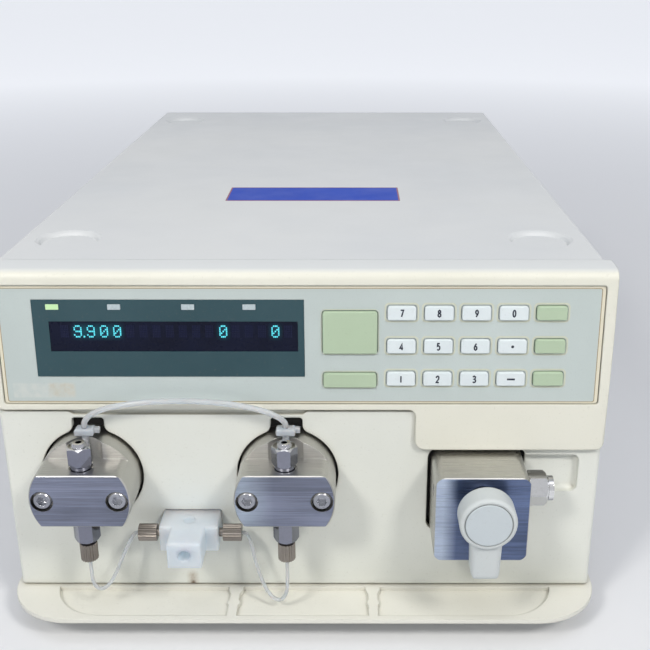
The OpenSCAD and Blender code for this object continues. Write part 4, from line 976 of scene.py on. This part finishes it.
def camera():
    """As fitted to the photograph's edges; its place is from the middle of
    the lid's front edge."""
    data = bpy.data.cameras.new("camera")
    data.sensor_width = 36
    data.lens = 54.45
    data.shift_x = -0.0378
    data.shift_y = 0.0012
    data.clip_start = 0.01
    cam = bpy.data.objects.new("camera", data)
    bpy.context.scene.collection.objects.link(cam)
    cam.location = (21.19 * MM, FRONT - 394.2 * MM, TOP + 120.07 * MM)
    look_down, turn = 20.795, 0.105
    cam.rotation_euler = (math.radians(90 - look_down), 0, math.radians(turn))
    bpy.context.scene.camera = cam


def seen_directly(tree):
    """1 for what the camera sees itself, in metal or through glass."""
    n = tree.nodes.new("ShaderNodeLightPath")
    total = n.outputs["Is Camera Ray"]
    for ray in ("Is Glossy Ray", "Is Transmission Ray"):
        either = tree.nodes.new("ShaderNodeMath")
        either.operation = "MAXIMUM"
        tree.links.new(total, either.inputs[0])
        tree.links.new(n.outputs[ray], either.inputs[1])
        total = either.outputs[0]
    return total


def floor():
    """Pale paper that keeps the object's shadow and stays pale far off."""
    b = Build("floor_paper", ior=1.3, specular_ior_level=0.1, emission_color=srgb(240, 242, 246))
    b.shades(b.noise(3, 2), (226, 227, 229), (222, 223, 226))
    b.to("Roughness", b.uneven(30, 2, 0.8, 0.9))
    away = b.node("ShaderNodeVectorMath", operation="LENGTH")
    b.link(b.place, away.inputs[0])
    near, far = 0.35, 1.9
    glow = b.spread(away.outputs["Value"], near, far, 0.08, 0.66)
    b.to("Emission Strength", b.times(glow, seen_directly(b.tree)))
    mesh = bpy.data.meshes.new("floor")
    half = 9
    mesh.from_pydata([(-half, -half, 0), (half, -half, 0), (half, half, 0), (-half, half, 0)],
                     [], [(0, 1, 2, 3)])
    obj = bpy.data.objects.new("floor", mesh)
    obj.data.materials.append(b.mat)
    bpy.context.scene.collection.objects.link(obj)
    obj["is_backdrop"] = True


def lamp(name, place, target, size, power, shade):
    data = bpy.data.lights.new(name, "AREA")
    data.shape = "RECTANGLE"
    data.size, data.size_y = size
    data.energy = power
    data.color = srgb(*shade)[:3]
    obj = bpy.data.objects.new(name, data)
    obj.location = place
    obj.rotation_euler = (Vector(target) - Vector(place)).to_track_quat("-Z", "Y").to_euler()
    bpy.context.scene.collection.objects.link(obj)


def studio():
    """An even, dim sky that lights the object, and a pale one behind it."""
    world = bpy.data.worlds.new("world")
    world.use_nodes = True
    tree = world.node_tree
    sky = tree.nodes["Background"]
    sky.inputs["Color"].default_value = srgb(222, 228, 240)
    sky.inputs["Strength"].default_value = 0.38
    seen = tree.nodes.new("ShaderNodeBackground")
    seen.inputs["Color"].default_value = srgb(238, 240, 243)
    seen.inputs["Strength"].default_value = 1.0
    mixer = tree.nodes.new("ShaderNodeMixShader")
    tree.links.new(seen_directly(tree), mixer.inputs["Fac"])
    tree.links.new(sky.outputs["Background"], mixer.inputs[1])
    tree.links.new(seen.outputs["Background"], mixer.inputs[2])
    tree.links.new(mixer.outputs["Shader"], tree.nodes["World Output"].inputs["Surface"])
    bpy.context.scene.world = world


camera()
floor()
WARM, COOL = (255, 252, 246), (250, 251, 255)
face_middle = (0, FRONT, 0.08)
lamp("front_left", (-0.6, FRONT - 0.9, 1.05), face_middle, (0.26, 0.26), 8.2, WARM)
lamp("front_right", (0.65, FRONT - 0.85, 1.05), face_middle, (0.26, 0.26), 8.2, WARM)
lamp("ceiling", (0.0, FRONT - 0.5, 1.8), (0, FRONT + 0.1, 0), (1.4, 0.8), 6.0, COOL)
studio()
bpy.context.scene.view_settings.view_transform = "Standard"

as_lists = [[list(map(float, corner)) for corner in box] for box in (CAD_BOX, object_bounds())]
